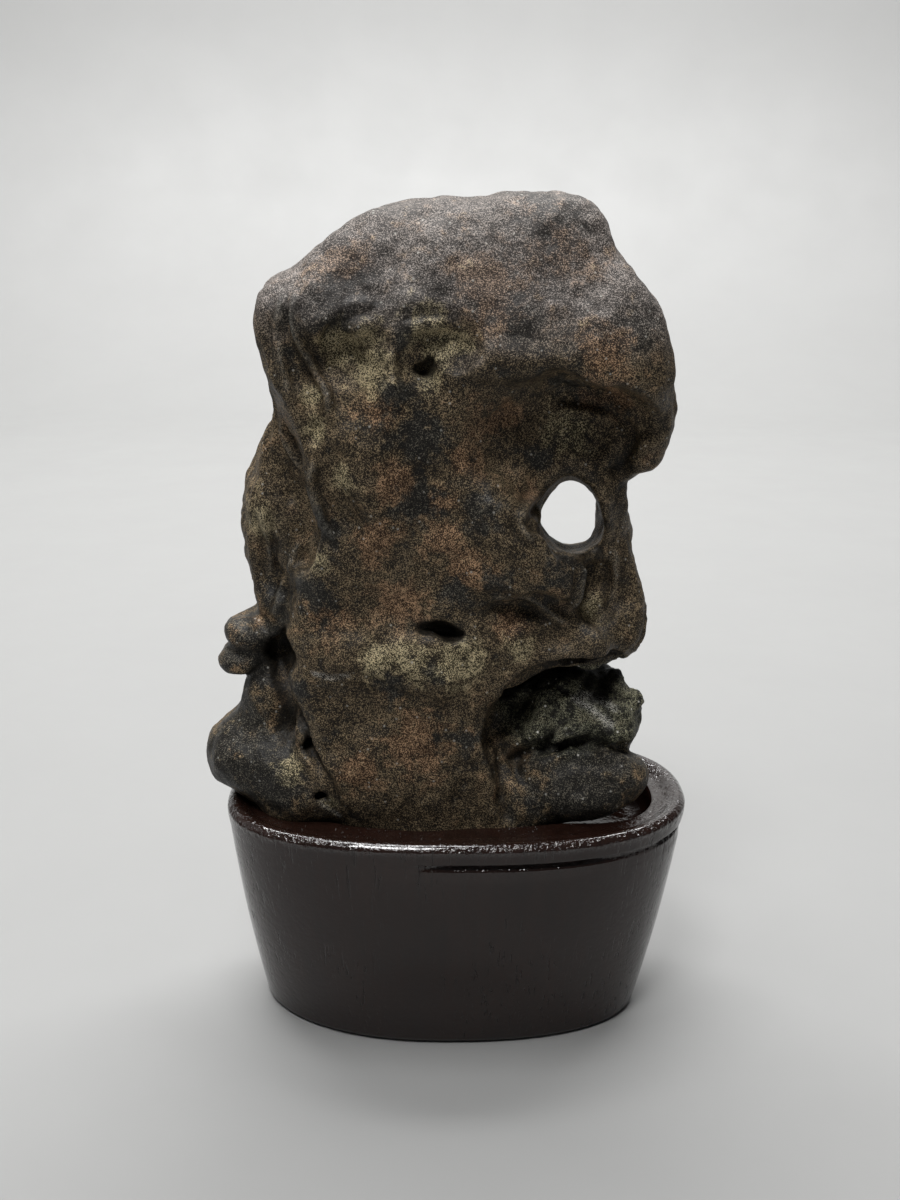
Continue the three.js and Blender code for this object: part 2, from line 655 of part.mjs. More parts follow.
/** The stone, cut finely, thinned, and laid back on its own surface. */
function makeRock() {
  const fine = polygonise(rockDistance, ROCK_LOW, ROCK_HIGH, ROCK_CELL);
  fine.points = settle(fine.points, rockDistance, 0.5 * ROCK_CELL);
  const skin = thin(fine, ROCK_FACES);
  skin.points = settle(skin.points, rockDistance, 0.3 * ROCK_CELL);
  return skin;
}

/** The stand with its socket cut out. */
function makeStand() {
  const high = [ROCK_HIGH[0], ROCK_HIGH[1], SOCKET_TOP + 2 * SOCKET_CELL];
  const hollow = polygonise(socketDistance, ROCK_LOW, high, SOCKET_CELL);
  hollow.points = settle(hollow.points, socketDistance, 0.5 * SOCKET_CELL);
  const cutter = thin(hollow, SOCKET_FACES);
  cutter.points = settle(cutter.points, socketDistance, 0.3 * SOCKET_CELL);
  return skinOf(solidOf(standSkin()).subtract(solidOf(cutter)));
}

const stone = new THREE.MeshStandardMaterial({ color: 0x3f3a33, roughness: 0.78, metalness: 0 });
const lacquer = new THREE.MeshStandardMaterial({ color: 0x24130f, roughness: 0.22, metalness: 0 });

const part = new THREE.Group();
part.name = 'scholars_rock';
part.add(piece('rock', makeRock(), stone));
part.add(piece('stand', makeStand(), lacquer));

export default part;
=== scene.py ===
"""A scholar's rock standing in its fitted, lacquered wooden stand, dressed for the studio.

The stone is one field of distances, blended from plates, lumps, ridges and hollows and turned into a
surface as whole arrays. The stand is a rounded oblong carried up a profile. Sizes are in millimetres
and become metres when a mesh is made. +Z is up, the front faces -Y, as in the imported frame.
"""

import logging
import math
from dataclasses import dataclass
from enum import Enum
from typing import Callable, ClassVar, Optional, Sequence, Union

import bpy
import numpy as np
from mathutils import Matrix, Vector


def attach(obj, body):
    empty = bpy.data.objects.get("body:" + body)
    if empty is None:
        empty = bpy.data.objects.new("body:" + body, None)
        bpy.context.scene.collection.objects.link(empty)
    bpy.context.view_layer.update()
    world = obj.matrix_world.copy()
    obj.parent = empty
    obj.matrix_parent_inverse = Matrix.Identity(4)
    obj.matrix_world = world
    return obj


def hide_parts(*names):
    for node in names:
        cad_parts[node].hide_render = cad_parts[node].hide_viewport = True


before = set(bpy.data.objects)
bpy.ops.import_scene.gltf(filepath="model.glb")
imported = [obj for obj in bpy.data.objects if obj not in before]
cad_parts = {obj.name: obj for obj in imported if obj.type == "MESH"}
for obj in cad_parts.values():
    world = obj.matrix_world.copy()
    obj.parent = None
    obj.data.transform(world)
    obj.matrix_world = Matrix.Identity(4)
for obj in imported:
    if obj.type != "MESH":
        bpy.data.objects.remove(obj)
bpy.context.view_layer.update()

MM = 0.001
log = logging.getLogger("scholars_rock")

Array = np.ndarray
Point = tuple[float, float, float]
Colour = tuple[float, float, float]
Pair = tuple[Colour, Colour]
Span = tuple[float, float]
Join = Callable[[Array, Array, float], Array]


def soften(a: Array, b: Array, blend: float) -> Array:
    """Smaller of two distances, less a quarter of the blend where they are equal."""
    overlap = np.maximum(blend - np.abs(a - b), 0.0) / blend
    return np.minimum(a, b) - 0.25 * blend * overlap * overlap


def carve(a: Array, cut: Array, blend: float) -> Array:
    """One distance with another cut out of it, rounded where they meet."""
    return -soften(-a, cut, blend)


def ease(value: Array, low: float, high: float) -> Array:
    """Rise from 0 at low to 1 at high, flat at both ends."""
    t = np.clip((value - low) / (high - low), 0.0, 1.0)
    return t * t * (3.0 - 2.0 * t)


def hashed(i: Array, j: Array, k: Array) -> Array:
    """Fixed pseudo-random value of a lattice corner: the fraction of a large sine."""
    wave = np.sin(i * 127.1 + j * 311.7 + k * 74.7) * 43758.5453
    return wave - np.floor(wave)


def swelling(x: Array, y: Array, z: Array, size: float, shift: float) -> Array:
    """Smooth swellings: lattice values blended by a fifth-degree ease in each direction.

    Args:
        x, y, z: Places, of shapes that broadcast.
        size: Distance between swellings.
        shift: Moves the pattern, so that layers differ.

    Returns:
        Values from -1 to 1.
    """
    place = [axis / size + shift for axis in (x, y, z)]
    whole = [np.floor(axis).astype(np.int64) for axis in place]
    rest = [axis - cell for axis, cell in zip(place, whole)]
    blend = [t * t * t * (t * (6.0 * t - 15.0) + 10.0) for t in rest]
    low = [int(cell.min()) for cell in whole]
    spans = [np.arange(start, int(cell.max()) + 2) for start, cell in zip(low, whole)]
    table = hashed(*np.meshgrid(*spans, indexing="ij")).astype(np.float32)
    total = np.float32(0.0)
    for corner in np.ndindex(2, 2, 2):
        weights = [b if bit else 1.0 - b for b, bit in zip(blend, corner)]
        index = tuple(cell - start + bit for cell, start, bit in zip(whole, low, corner))
        total = total + weights[0] * weights[1] * weights[2] * table[index]
    return 2.0 * total - 1.0


def nearest_seed(points: Array, size: float, shift: float) -> tuple[Array, Array]:
    """Distance to the nearest of scattered seeds, one to each lattice cell.

    Args:
        points: Places as rows.
        size: Width of a cell.
        shift: Moves the pattern.

    Returns:
        The distance in cell widths and a fixed random value of the nearest seed.
    """
    place = points / size + shift
    base = np.floor(place)
    best = np.full(len(points), 9.0)
    value = np.zeros(len(points))
    for step in np.ndindex(3, 3, 3):
        cell = base + np.array(step) - 1.0
        i, j, k = cell.T
        seed = np.stack([hashed(i, j, k), hashed(j + 5.0, k, i), hashed(k, i + 9.0, j)], axis=1)
        gap = np.linalg.norm(cell + seed - place, axis=1)
        closer = gap < best
        best = np.where(closer, gap, best)
        value = np.where(closer, hashed(i + 3.0, j + 7.0, k + 1.0), value)
    return best, value


def cubic(a: Array, b: Array, c: Array, d: Array, steps: int) -> Array:
    """Smooth curve through points: each stretch from b to c leans as a to c and b to d do.

    Args:
        a, b, c, d: Rows of four points in turn, with a middle axis of one.
        steps: Places on each stretch.

    Returns:
        Places along all the stretches, as rows.
    """
    t = (np.arange(steps) / steps)[None, :, None]
    curve = 2 * b + (c - a) * t + (2 * a - 5 * b + 4 * c - d) * t**2
    curve = 0.5 * (curve + (3 * b - a - 3 * c + d) * t**3)
    return curve.reshape(-1, b.shape[-1])


@dataclass(frozen=True)
class Swell:
    """One layer of smooth swellings: their height, the distance between them and a shift."""

    height: float
    size: float
    shift: float

    def at(self, x: Array, y: Array, z: Array) -> Array:
        """Height of the swellings at each place, from minus the height to the height."""
        return self.height * swelling(x, y, z, self.size, self.shift)


@dataclass(frozen=True)
class Lump:
    """An egg-shaped lump or hollow, turned about X, Y and Z in degrees."""

    centre: Point
    radii: Point
    blend: float
    turn: Point = (0.0, 0.0, 0.0)

    def axes(self) -> Array:
        """Own axes: turned about X, then Y, then Z.

        Returns:
            A square matrix with the axes as columns.
        """
        a, b, c = np.radians(self.turn)
        about_x = np.array([[1, 0, 0], [0, np.cos(a), -np.sin(a)], [0, np.sin(a), np.cos(a)]])
        about_y = np.array([[np.cos(b), 0, np.sin(b)], [0, 1, 0], [-np.sin(b), 0, np.cos(b)]])
        about_z = np.array([[np.cos(c), -np.sin(c), 0], [np.sin(c), np.cos(c), 0], [0, 0, 1]])
        return about_z @ about_y @ about_x

    def distance(self, x: Array, y: Array, z: Array) -> Array:
        """Size times size less one over slope, where size is the length scaled by the radii.

        Args:
            x, y, z: Places, of shapes that broadcast.

        Returns:
            Distances, negative inside.
        """
        offset = [x - self.centre[0], y - self.centre[1], z - self.centre[2]]
        size = slope = np.float32(0.0)
        for axis, radius in zip(self.axes().T, self.radii):
            local = sum(np.float32(part) * away for part, away in zip(axis, offset))
            size = size + (local / radius) ** 2
            slope = slope + (local / radius**2) ** 2
        size = np.sqrt(size)
        return size * (size - 1.0) / np.maximum(np.sqrt(slope), 1e-6)

    def box(self) -> tuple[Array, Array]:
        """Lowest and highest corner, turned any way."""
        reach = np.abs(self.axes()) @ np.array(self.radii)
        return np.array(self.centre) - reach, np.array(self.centre) + reach


@dataclass(frozen=True)
class Strip:
    """A strip of tube through points given as x, y, z and radius."""

    points: tuple[tuple[float, float, float, float], ...]
    blend: float

    def distance(self, x: Array, y: Array, z: Array) -> Array:
        """Least distance to the straight stretches, less the radius carried along each.

        Args:
            x, y, z: Places, of shapes that broadcast.

        Returns:
            Distances, negative inside.
        """
        nearest = None
        for start, end in zip(self.points, self.points[1:]):
            edge = [end[i] - start[i] for i in range(3)]
            away = [x - start[0], y - start[1], z - start[2]]
            along = sum(e * a for e, a in zip(edge, away)) / sum(e * e for e in edge)
            along = np.clip(along, 0.0, 1.0)
            off = np.sqrt(sum((a - e * along) ** 2 for a, e in zip(away, edge)))
            gap = off - start[3] - (end[3] - start[3]) * along
            nearest = gap if nearest is None else np.minimum(nearest, gap)
        return nearest

    def box(self) -> tuple[Array, Array]:
        """Lowest and highest corner of the tube."""
        rows = np.array(self.points)
        return (rows[:, :3] - rows[:, 3:]).min(axis=0), (rows[:, :3] + rows[:, 3:]).max(axis=0)


@dataclass(frozen=True)
class Slope:
    """A slanted cut down the front, through a depth and a height, tilted up from facing forwards."""

    y: float
    z: float
    tilt: float
    blend: float

    def distance(self, y: Array, z: Array) -> Array:
        """How far behind the slanted plane each place is."""
        tilt = math.radians(self.tilt)
        return (y - self.y) * math.cos(tilt) - (z - self.z) * math.sin(tilt)


@dataclass(frozen=True)
class Thread:
    """A fine line over the surface, raised where its height is above zero and cut where it is below."""

    points: tuple[Point, ...]
    height: float
    width: float
    steps: int = 4
    reach: float = 5.0
    far: float = 99.0
    taper: float = 0.15

    def curve(self) -> Array:
        """Places along an open cubic through the points.

        Returns:
            Places as rows, from the first point to the last.
        """
        rows = np.array(self.points, dtype=float)
        rows = np.concatenate([[2 * rows[0] - rows[1]], rows, [2 * rows[-1] - rows[-2]]])
        a, b, c, d = (rows[i:len(rows) - 3 + i, None, :] for i in range(4))
        return np.concatenate([cubic(a, b, c, d, self.steps), [self.points[-1]]])

    def gap(self, places: Array) -> tuple[Array, Array]:
        """Distance of each place to the line, left far where it is out of reach.

        Args:
            places: Places as rows.

        Returns:
            The distance in widths of the line, and a share that falls to 0 at its two ends.
        """
        rows = self.curve()
        low, high = rows.min(axis=0), rows.max(axis=0)
        reach = (high - low) / 2 + self.reach * self.width
        near = np.flatnonzero(np.all(np.abs(places - (high + low) / 2) < reach, axis=1))
        best = np.full(len(places), self.far)
        part = np.zeros(len(places))
        for number, (start, end) in enumerate(zip(rows, rows[1:])):
            edge = end - start
            away = places[near] - start
            along = np.clip(away @ edge / (edge @ edge), 0.0, 1.0)
            off = np.linalg.norm(away - along[:, None] * edge, axis=1) / self.width
            closer = off < best[near]
            best[near] = np.where(closer, off, best[near])
            part[near] = np.where(closer, (number + along) / (len(rows) - 1), part[near])
        return best, ease(part, 0.0, self.taper) * (1.0 - ease(part, 1.0 - self.taper, 1.0))

    def lift(self, places: Array) -> Array:
        """Height over the line: a bell with a shallow dip along both its sides."""
        gap, share = self.gap(places)
        return self.height * share * (np.exp(-gap**2) - 0.5 * np.exp(-((gap - 2.2) / 1.1) ** 2))

    def near(self, places: Array, offset: float, sharp: float) -> Array:
        """Share of being so many widths off the line: a bell, narrower as it is sharper."""
        gap, share = self.gap(places)
        return np.exp(-((sharp * (gap - offset)) ** 2)) * share


@dataclass(frozen=True)
class Outline:
    """A closed smooth curve in x and z through the given points."""

    points: tuple[tuple[float, float], ...]
    steps: int = 4

    def edges(self) -> tuple[Array, Array]:
        """Short straight edges along a closed cubic through the points.

        Returns:
            Starts and ends of the edges, as rows.
        """
        b = np.array(self.points, dtype=float)[:, None, :]
        a, c, d = np.roll(b, 1, axis=0), np.roll(b, -1, axis=0), np.roll(b, -2, axis=0)
        starts = cubic(a, b, c, d, self.steps)
        return starts, np.roll(starts, -1, axis=0)

    def distance(self, x: Array, z: Array) -> Array:
        """Distance to the nearest edge, negative where a ray to the right crosses an odd number.

        Args:
            x, z: Places, of shapes that broadcast.

        Returns:
            Distances in the outline's own plane, negative inside.
        """
        starts, ends = self.edges()
        x, z = x[..., None], z[..., None]
        ex, ez = (ends - starts).T
        wx, wz = x - starts[:, 0], z - starts[:, 1]
        along = np.clip((wx * ex + wz * ez) / (ex * ex + ez * ez), 0.0, 1.0)
        nearest = np.sqrt(((wx - ex * along) ** 2 + (wz - ez * along) ** 2).min(axis=-1))
        rise = np.where(np.abs(ez) < 1e-9, 1e-9, ez)
        crosses = ((starts[:, 1] > z) != (ends[:, 1] > z)) & (wx < ex * wz / rise)
        return np.where(crosses.sum(axis=-1) % 2 == 1, -nearest, nearest)


def plate(flat: Array, y: Array, mid: float, half: Array, edge: Array) -> Array:
    """Distance to a plate of an outline's shape.

    Args:
        flat: Distance to the outline.
        y: Depth of each place.
        mid: Depth of the plate's middle.
        half: Half its thickness.
        edge: Rounding of its edge.

    Returns:
        The longer of the two ways out inside the rounded rim, and the straight line to it outside.
    """
    across = flat + edge
    deep = np.abs(y - mid) - half + edge
    corner = np.hypot(np.maximum(across, 0.0), np.maximum(deep, 0.0))
    return np.minimum(np.maximum(across, deep), 0.0) + corner - edge


@dataclass
class Lattice:
    """Distances on a regular lattice, and the surface where they pass zero."""

    low: Array
    cell: float
    values: Array
    SOLID: ClassVar[float] = -1e-3

    def close_pinches(self) -> None:
        """Fills corners until no two solid parts meet only along an edge."""
        pairs = ((0, 1), (1, 2), (0, 2))
        changed = True
        while changed:
            changed = False
            for u, v in pairs:
                corners = [self._shifted(u, v, a, b) for a, b in ((0, 0), (1, 1), (1, 0), (0, 1))]
                solid = [part < 0.0 for part in corners]
                first = solid[0] & solid[1] & ~solid[2] & ~solid[3]
                second = ~solid[0] & ~solid[1] & solid[2] & solid[3]
                corners[2][first] = self.SOLID
                corners[0][second] = self.SOLID
                changed = changed or bool(first.any() or second.any())

    def _shifted(self, u: int, v: int, a: int, b: int) -> Array:
        """View of the values, one shorter along two axes.

        Args:
            u, v: The two axes.
            a, b: Start along each of them, 0 or 1.

        Returns:
            The view, which changes the values when it is changed.
        """
        cut = [slice(None)] * 3
        cut[u] = slice(a, self.values.shape[u] - 1 + a)
        cut[v] = slice(b, self.values.shape[v] - 1 + b)
        return self.values[tuple(cut)]

    def surface(self) -> tuple[Array, Array]:
        """One point to each cell that the surface passes through, and quads between them.

        Returns:
            Points, each the mean of where its cell's edges cross zero, and quads facing outwards.
        """
        shape = np.array(self.values.shape) - 1
        total = np.zeros((*shape, 3), np.float32)
        count = np.zeros(shape, np.float32)
        for axis in range(3):
            u, v = [other for other in range(3) if other != axis]
            for a, b in np.ndindex(2, 2):
                start, end = [0, 0, 0], [0, 0, 0]
                start[u] = end[u] = a
                start[v] = end[v] = b
                end[axis] = 1
                cuts = [tuple(slice(s, s + n) for s, n in zip(at, shape)) for at in (start, end)]
                here, there = (self.values[cut] for cut in cuts)
                crosses = (here < 0.0) != (there < 0.0)
                part = np.where(crosses, here / np.where(crosses, here - there, 1.0), 0.0)
                total[..., axis] += part
                total[..., u] += crosses * a
                total[..., v] += crosses * b
                count += crosses
        active = count > 0
        number = np.full(shape, -1, np.int64)
        number[active] = np.arange(active.sum())
        cells = np.argwhere(active)
        points = self.low + (cells + total[active] / count[active][:, None]) * self.cell
        return points, np.concatenate([self._quads(axis, number) for axis in range(3)])

    def _quads(self, axis: int, number: Array) -> Array:
        """Quads across the lattice edges along one axis, each round the four cells of its edge.

        Args:
            axis: The edges' axis.
            number: Point number of each cell, or -1.

        Returns:
            Corner numbers as rows of four, facing outwards.
        """
        u, v = (axis + 1) % 3, (axis + 2) % 3
        inner = [slice(1, -1)] * 3
        inner[axis] = slice(0, -1)
        outer = list(inner)
        outer[axis] = slice(1, None)
        solid = self.values[tuple(inner)] < 0.0
        edges = np.argwhere(solid != (self.values[tuple(outer)] < 0.0))
        starts_in = solid[tuple(edges.T)]
        edges[:, u] += 1
        edges[:, v] += 1
        ring = []
        for a, b in ((-1, -1), (0, -1), (0, 0), (-1, 0)):
            cell = edges.copy()
            cell[:, u] += a
            cell[:, v] += b
            ring.append(number[tuple(cell.T)])
        quads = np.stack(ring, axis=1)
        return np.where(starts_in[:, None], quads, quads[:, ::-1])

    def at(self, points: Array) -> Array:
        """Distance at any points, blended straight from the eight corners round each.

        Args:
            points: Places as rows.

        Returns:
            One distance to each place.
        """
        place = np.clip((points - self.low) / self.cell, 0.0, np.array(self.values.shape) - 1.001)
        base = np.floor(place).astype(np.int64)
        rest = place - base
        total = np.zeros(len(points))
        for corner in np.ndindex(2, 2, 2):
            weight = np.prod(np.where(np.array(corner), rest, 1.0 - rest), axis=1)
            total += weight * self.values[tuple((base + np.array(corner)).T)]
        return total

    def normals(self, points: Array) -> Array:
        """Unit slope of the distance, by differences across a cell either way.

        Args:
            points: Places as rows.

        Returns:
            One direction to each place, as rows.
        """
        steps = np.eye(3) * self.cell
        slope = np.stack([self.at(points + step) - self.at(points - step) for step in steps], axis=1)
        return slope / np.maximum(np.linalg.norm(slope, axis=1, keepdims=True), 1e-9)


def make_object(
    name: str, points: Array, faces: Sequence[Array], layers: dict[str, Array]
) -> bpy.types.Object:
    """Smooth mesh object at the origin.

    Args:
        name: Piece name.
        points: Places in millimetres, as rows.
        faces: Corner numbers, in blocks of rows of three or of four.
        layers: Values for each point, by name.

    Returns:
        The linked object.
    """
    mesh = bpy.data.meshes.new(name)
    mesh.from_pydata((points * MM).tolist(), [], [row for block in faces for row in block.tolist()])
    mesh.update(calc_edges=True)
    mesh.polygons.foreach_set("use_smooth", np.ones(len(mesh.polygons), dtype=bool))
    for key, values in layers.items():
        layer = mesh.attributes.new(key, "FLOAT", "POINT")
        layer.data.foreach_set("value", np.ascontiguousarray(values, dtype=np.float32))
    piece = bpy.data.objects.new(name, mesh)
    bpy.context.scene.collection.objects.link(piece)
    return piece


Value = Union["Wire", float]


class Wire:
    """A value on its way through a material's nodes."""

    def __init__(self, loom: "Loom", socket: bpy.types.NodeSocket) -> None:
        """Holds the nodes it belongs to and the socket it comes out of."""
        self.loom = loom
        self.socket = socket

    def _math(self, operation: str, first: Value, second: Value) -> "Wire":
        """Adds one Math node."""
        node = self.loom.node("ShaderNodeMath", {"operation": operation}, {0: first, 1: second})
        return Wire(self.loom, node.outputs[0])

    def __add__(self, other: Value) -> "Wire":
        """Sum."""
        return self._math("ADD", self, other)

    __radd__ = __add__

    def __sub__(self, other: Value) -> "Wire":
        """Difference."""
        return self._math("SUBTRACT", self, other)

    def __rsub__(self, other: Value) -> "Wire":
        """Difference from a number."""
        return self._math("SUBTRACT", other, self)

    def __mul__(self, other: Value) -> "Wire":
        """Product."""
        return self._math("MULTIPLY", self, other)

    __rmul__ = __mul__

    def ease(self, low: float, high: float) -> "Wire":
        """Rise from 0 to 1, flat at both ends.

        Args:
            low, high: Values where the rise starts and ends.

        Returns:
            The risen value.
        """
        settings = {"interpolation_type": "SMOOTHSTEP"}
        inputs = {"Value": self, "From Min": low, "From Max": high}
        return Wire(self.loom, self.loom.node("ShaderNodeMapRange", settings, inputs).outputs[0])

    def clamp(self) -> "Wire":
        """Held between 0 and 1."""
        return Wire(self.loom, self.loom.node("ShaderNodeClamp", {}, {"Value": self}).outputs[0])


class Loom:
    """The nodes of one material."""

    def __init__(self, name: str) -> None:
        """Starts a material with its shader and its Object coordinates.

        Args:
            name: Name of the material.
        """
        self.material = bpy.data.materials.new(name)
        self.material.use_nodes = True
        self.tree = self.material.node_tree
        self.shader = self.tree.nodes["Principled BSDF"]
        place = self.node("ShaderNodeTexCoord", {}, {})
        self.place = Wire(self, place.outputs["Object"])

    def node(self, kind: str, settings: dict, inputs: dict) -> bpy.types.Node:
        """Adds a node.

        Args:
            kind: Node type.
            settings: Properties, set first.
            inputs: Values or wires by socket name or number.

        Returns:
            The node.
        """
        node = self.tree.nodes.new(kind)
        for key, value in settings.items():
            setattr(node, key, value)
        for key, value in inputs.items():
            self.feed(node.inputs[key], value)
        return node

    def feed(self, socket: bpy.types.NodeSocket, value: Union[Value, Sequence[float]]) -> None:
        """Links a wire to a socket, or sets its value.

        Args:
            socket: Input of a node.
            value: Wire, number or row of numbers.
        """
        if isinstance(value, Wire):
            self.tree.links.new(value.socket, socket)
        else:
            socket.default_value = value

    def stretched(self, scale: Point) -> Wire:
        """Object coordinates, stretched along each axis."""
        node = self.node("ShaderNodeMapping", {}, {"Vector": self.place, "Scale": scale})
        return Wire(self, node.outputs[0])

    def noise(
        self, scale: float, detail: float, rough: float = 0.5, place: Optional[Wire] = None
    ) -> Wire:
        """Cloudy value from 0 to 1, at so many clouds a metre."""
        inputs = {"Vector": place or self.place, "Scale": scale, "Detail": detail, "Roughness": rough}
        return Wire(self, self.node("ShaderNodeTexNoise", {}, inputs).outputs[0])

    def grains(self, scale: float) -> tuple[Wire, Wire]:
        """Scattered grains.

        Args:
            scale: Grains in a metre.

        Returns:
            Distance to the nearest grain's middle and a random value of that grain.
        """
        node = self.node("ShaderNodeTexVoronoi", {}, {"Vector": self.place, "Scale": scale})
        split = self.node("ShaderNodeSeparateColor", {}, {0: Wire(self, node.outputs["Color"])})
        return Wire(self, node.outputs["Distance"]), Wire(self, split.outputs[0])

    def layer(self, name: str) -> Wire:
        """The piece's own value of that name."""
        return Wire(self, self.node("ShaderNodeAttribute", {"attribute_name": name}, {}).outputs["Fac"])

    def mix(self, share: Value, first: Union[Wire, Colour], second: Union[Wire, Colour]) -> Wire:
        """Colour between two others.

        Args:
            share: How much of the second.
            first, second: Colours or wires that carry one.

        Returns:
            The mixed colour.
        """
        pair = [part if isinstance(part, Wire) else (*part, 1.0) for part in (first, second)]
        node = self.node("ShaderNodeMix", {"data_type": "RGBA"}, {0: share, 6: pair[0], 7: pair[1]})
        return Wire(self, node.outputs[2])

    def bump(self, height: Wire) -> Wire:
        """Normal from a height in millimetres."""
        node = self.node("ShaderNodeBump", {}, {"Strength": 1.0, "Distance": MM, "Height": height})
        return Wire(self, node.outputs[0])

    def finish(
        self, colour: Wire, rough: Wire, normal: Wire, fixed: dict[str, float]
    ) -> bpy.types.Material:
        """Wires the shader and sets what is the same all over.

        Args:
            colour, rough, normal: What varies over the piece.
            fixed: Values by the shader's input name.

        Returns:
            The finished material.
        """
        self.feed(self.shader.inputs["Base Color"], colour)
        self.feed(self.shader.inputs["Roughness"], rough)
        self.feed(self.shader.inputs["Normal"], normal)
        for key, value in fixed.items():
            self.feed(self.shader.inputs[key], value)
        return self.material


class Tone(Enum):
    """Weathering tones of the stone, each a layer of its mesh; the olive one is paled in part as painted
    light in the hollows.
    """

    RUST = "rust"
    SLATE = "slate"
    OLIVE = "olive"


@dataclass(frozen=True)
class WeatheredStone:
    """Dark stone, speckled like sandpaper, in patches of slate, rust and olive, with painted shade and
    light in its colour.
    """

    brown: Pair = ((0.017, 0.0125, 0.008), (0.248, 0.185, 0.110))
    rust: Pair = ((0.040, 0.021, 0.011), (0.430, 0.265, 0.152))
    slate: Pair = ((0.012, 0.012, 0.0115), (0.140, 0.139, 0.121))
    # olive tone, made pale partly as painted light on the floors of the hollows under the brow
    olive: Pair = ((0.038, 0.032, 0.017), (0.600, 0.510, 0.310))
    # cap tone: greyer, and lighter than the body partly as painted top light
    cap: Pair = ((0.042, 0.036, 0.032), (0.300, 0.262, 0.236))
    moss: Pair = ((0.014, 0.015, 0.010), (0.250, 0.252, 0.172))
    # dark grains, and painted shade in hollows, creases and crust cavities
    soot_and_shade: Colour = (0.006, 0.005, 0.004)
    # crystals in the crust, and painted glints
    crystal_and_glint: Colour = (0.66, 0.64, 0.58)
    # rubbed crests, lighter partly as wear and partly as a painted highlight
    worn_and_highlight: Colour = (0.260, 0.246, 0.210)
    clouds_per_m: float = 55.0
    streaks_per_m: float = 170.0
    mottles_per_m: float = 330.0
    grains_per_m: float = 1500.0
    glints_per_m: float = 700.0
    rough: float = 0.60

    def material(self) -> bpy.types.Material:
        """Patches of tone, each a dark and a light, sandy grain between the two, then dark grains, painted
        shade in hollows, creases and crust cavities, crests lightened by rubbing and by a painted
        highlight, pale crystals and painted glints.

        Returns:
            The finished material.
        """
        loom = Loom("weathered_stone")
        cloud = loom.noise(self.clouds_per_m, 5.0, 0.62)
        streak = loom.noise(self.streaks_per_m, 4.0, 0.62)
        mottle = loom.noise(self.mottles_per_m, 4.0, 0.65)
        grain = loom.noise(self.grains_per_m, 2.0, 0.65)
        fine = loom.noise(2.0 * self.grains_per_m, 1.0, 0.6)
        stain = (cloud - 0.5) * 2.2 + (streak - 0.5) * 2.2 + (mottle - 0.5) * 1.4
        hollow, crest, crust, height = (loom.layer(key) for key in ("hollow", "crest", "crust", "cap"))
        thread, cut, pale = (loom.layer(key) for key in ("thread", "cut", "pale"))
        rust = (loom.layer(Tone.RUST.value) + stain).ease(0.15, 0.9)
        slate = (loom.layer(Tone.SLATE.value) - stain).ease(0.2, 0.9)
        olive = (loom.layer(Tone.OLIVE.value) + (streak - 0.5) * 2.0 + (mottle - 0.5) * 1.2).ease(0.2, 0.95)
        low, high = self.brown
        tones = (
            # cap tone follows surfaces that face up as well as height: the cap's own tone plus painted top
            # light
            (height, self.cap),
            (rust * (0.8 - 0.35 * height), self.rust),
            (slate * (0.75 - 0.42 * height), self.slate),
            # olive patches; their paleness in the hollows under the brow is painted light
            (olive * 0.75, self.olive),
            (crust * 0.8, self.moss),
        )
        for share, pair in tones:
            low = loom.mix(share, low, pair[0])
            high = loom.mix(share, high, pair[1])
        thick = (cloud - 0.5) * 0.15 + (mottle - 0.5) * 0.24 - 0.035 * slate + 0.03 * olive
        sand = grain * 0.42 + fine * 0.58 + thick
        speck = sand.ease(0.50, 0.61)
        colour = loom.mix(speck, low, high)
        # where the crust's bump sinks; darkened below as painted shade in its cavities
        cavity = 1.0 - (mottle * 0.6 + streak * 0.4).ease(0.40, 0.50)
        # darkening: dark grains, then painted shade in hollows, crust cavities and creases
        soot_and_shade_shares = (
            (1.0 - sand.ease(0.32, 0.43)) * 0.6,
            # painted shade: darker the more hollow the place is
            hollow.ease(0.30, 1.0) * 0.88,
            # painted shade in the crust's cavities
            cavity * crust * 0.8,
            # painted shade in the creases and beside the crest lines
            (cut * 0.8 * mottle.ease(0.25, 0.55)).clamp(),
        )
        for share in soot_and_shade_shares:
            colour = loom.mix(share, colour, self.soot_and_shade)
        # crests and crest lines lightened: wear, and a painted highlight along them
        wear_and_highlight = (crest.ease(0.6, 1.0) * 0.05 + thread * 0.36).clamp() * grain.ease(0.3, 0.6)
        colour = loom.mix(wear_and_highlight, colour, self.worn_and_highlight)
        colour = loom.mix(pale * (fine + mottle * 0.5).ease(0.70, 0.86) * 0.85, colour, self.crystal_and_glint)
        # painted glints: scattered bright specks, more in the crust, standing in for sparkle
        far, chance = loom.grains(self.glints_per_m)
        glint = (1.0 - far.ease(0.15, 0.4)) * chance.ease(0.955, 0.97) * (0.35 + crust).clamp()
        colour = loom.mix(glint, colour, self.crystal_and_glint)

        rough = self.rough - 0.10 * slate - 0.14 * crest + 0.10 * speck
        relief = grain * 0.2 + mottle * (0.35 + 1.3 * crust) + streak * (0.35 + 1.5 * crust)
        fixed = {"IOR": 1.5, "Specular IOR Level": 0.18}
        return loom.finish(colour, rough.clamp(), loom.bump(relief), fixed)


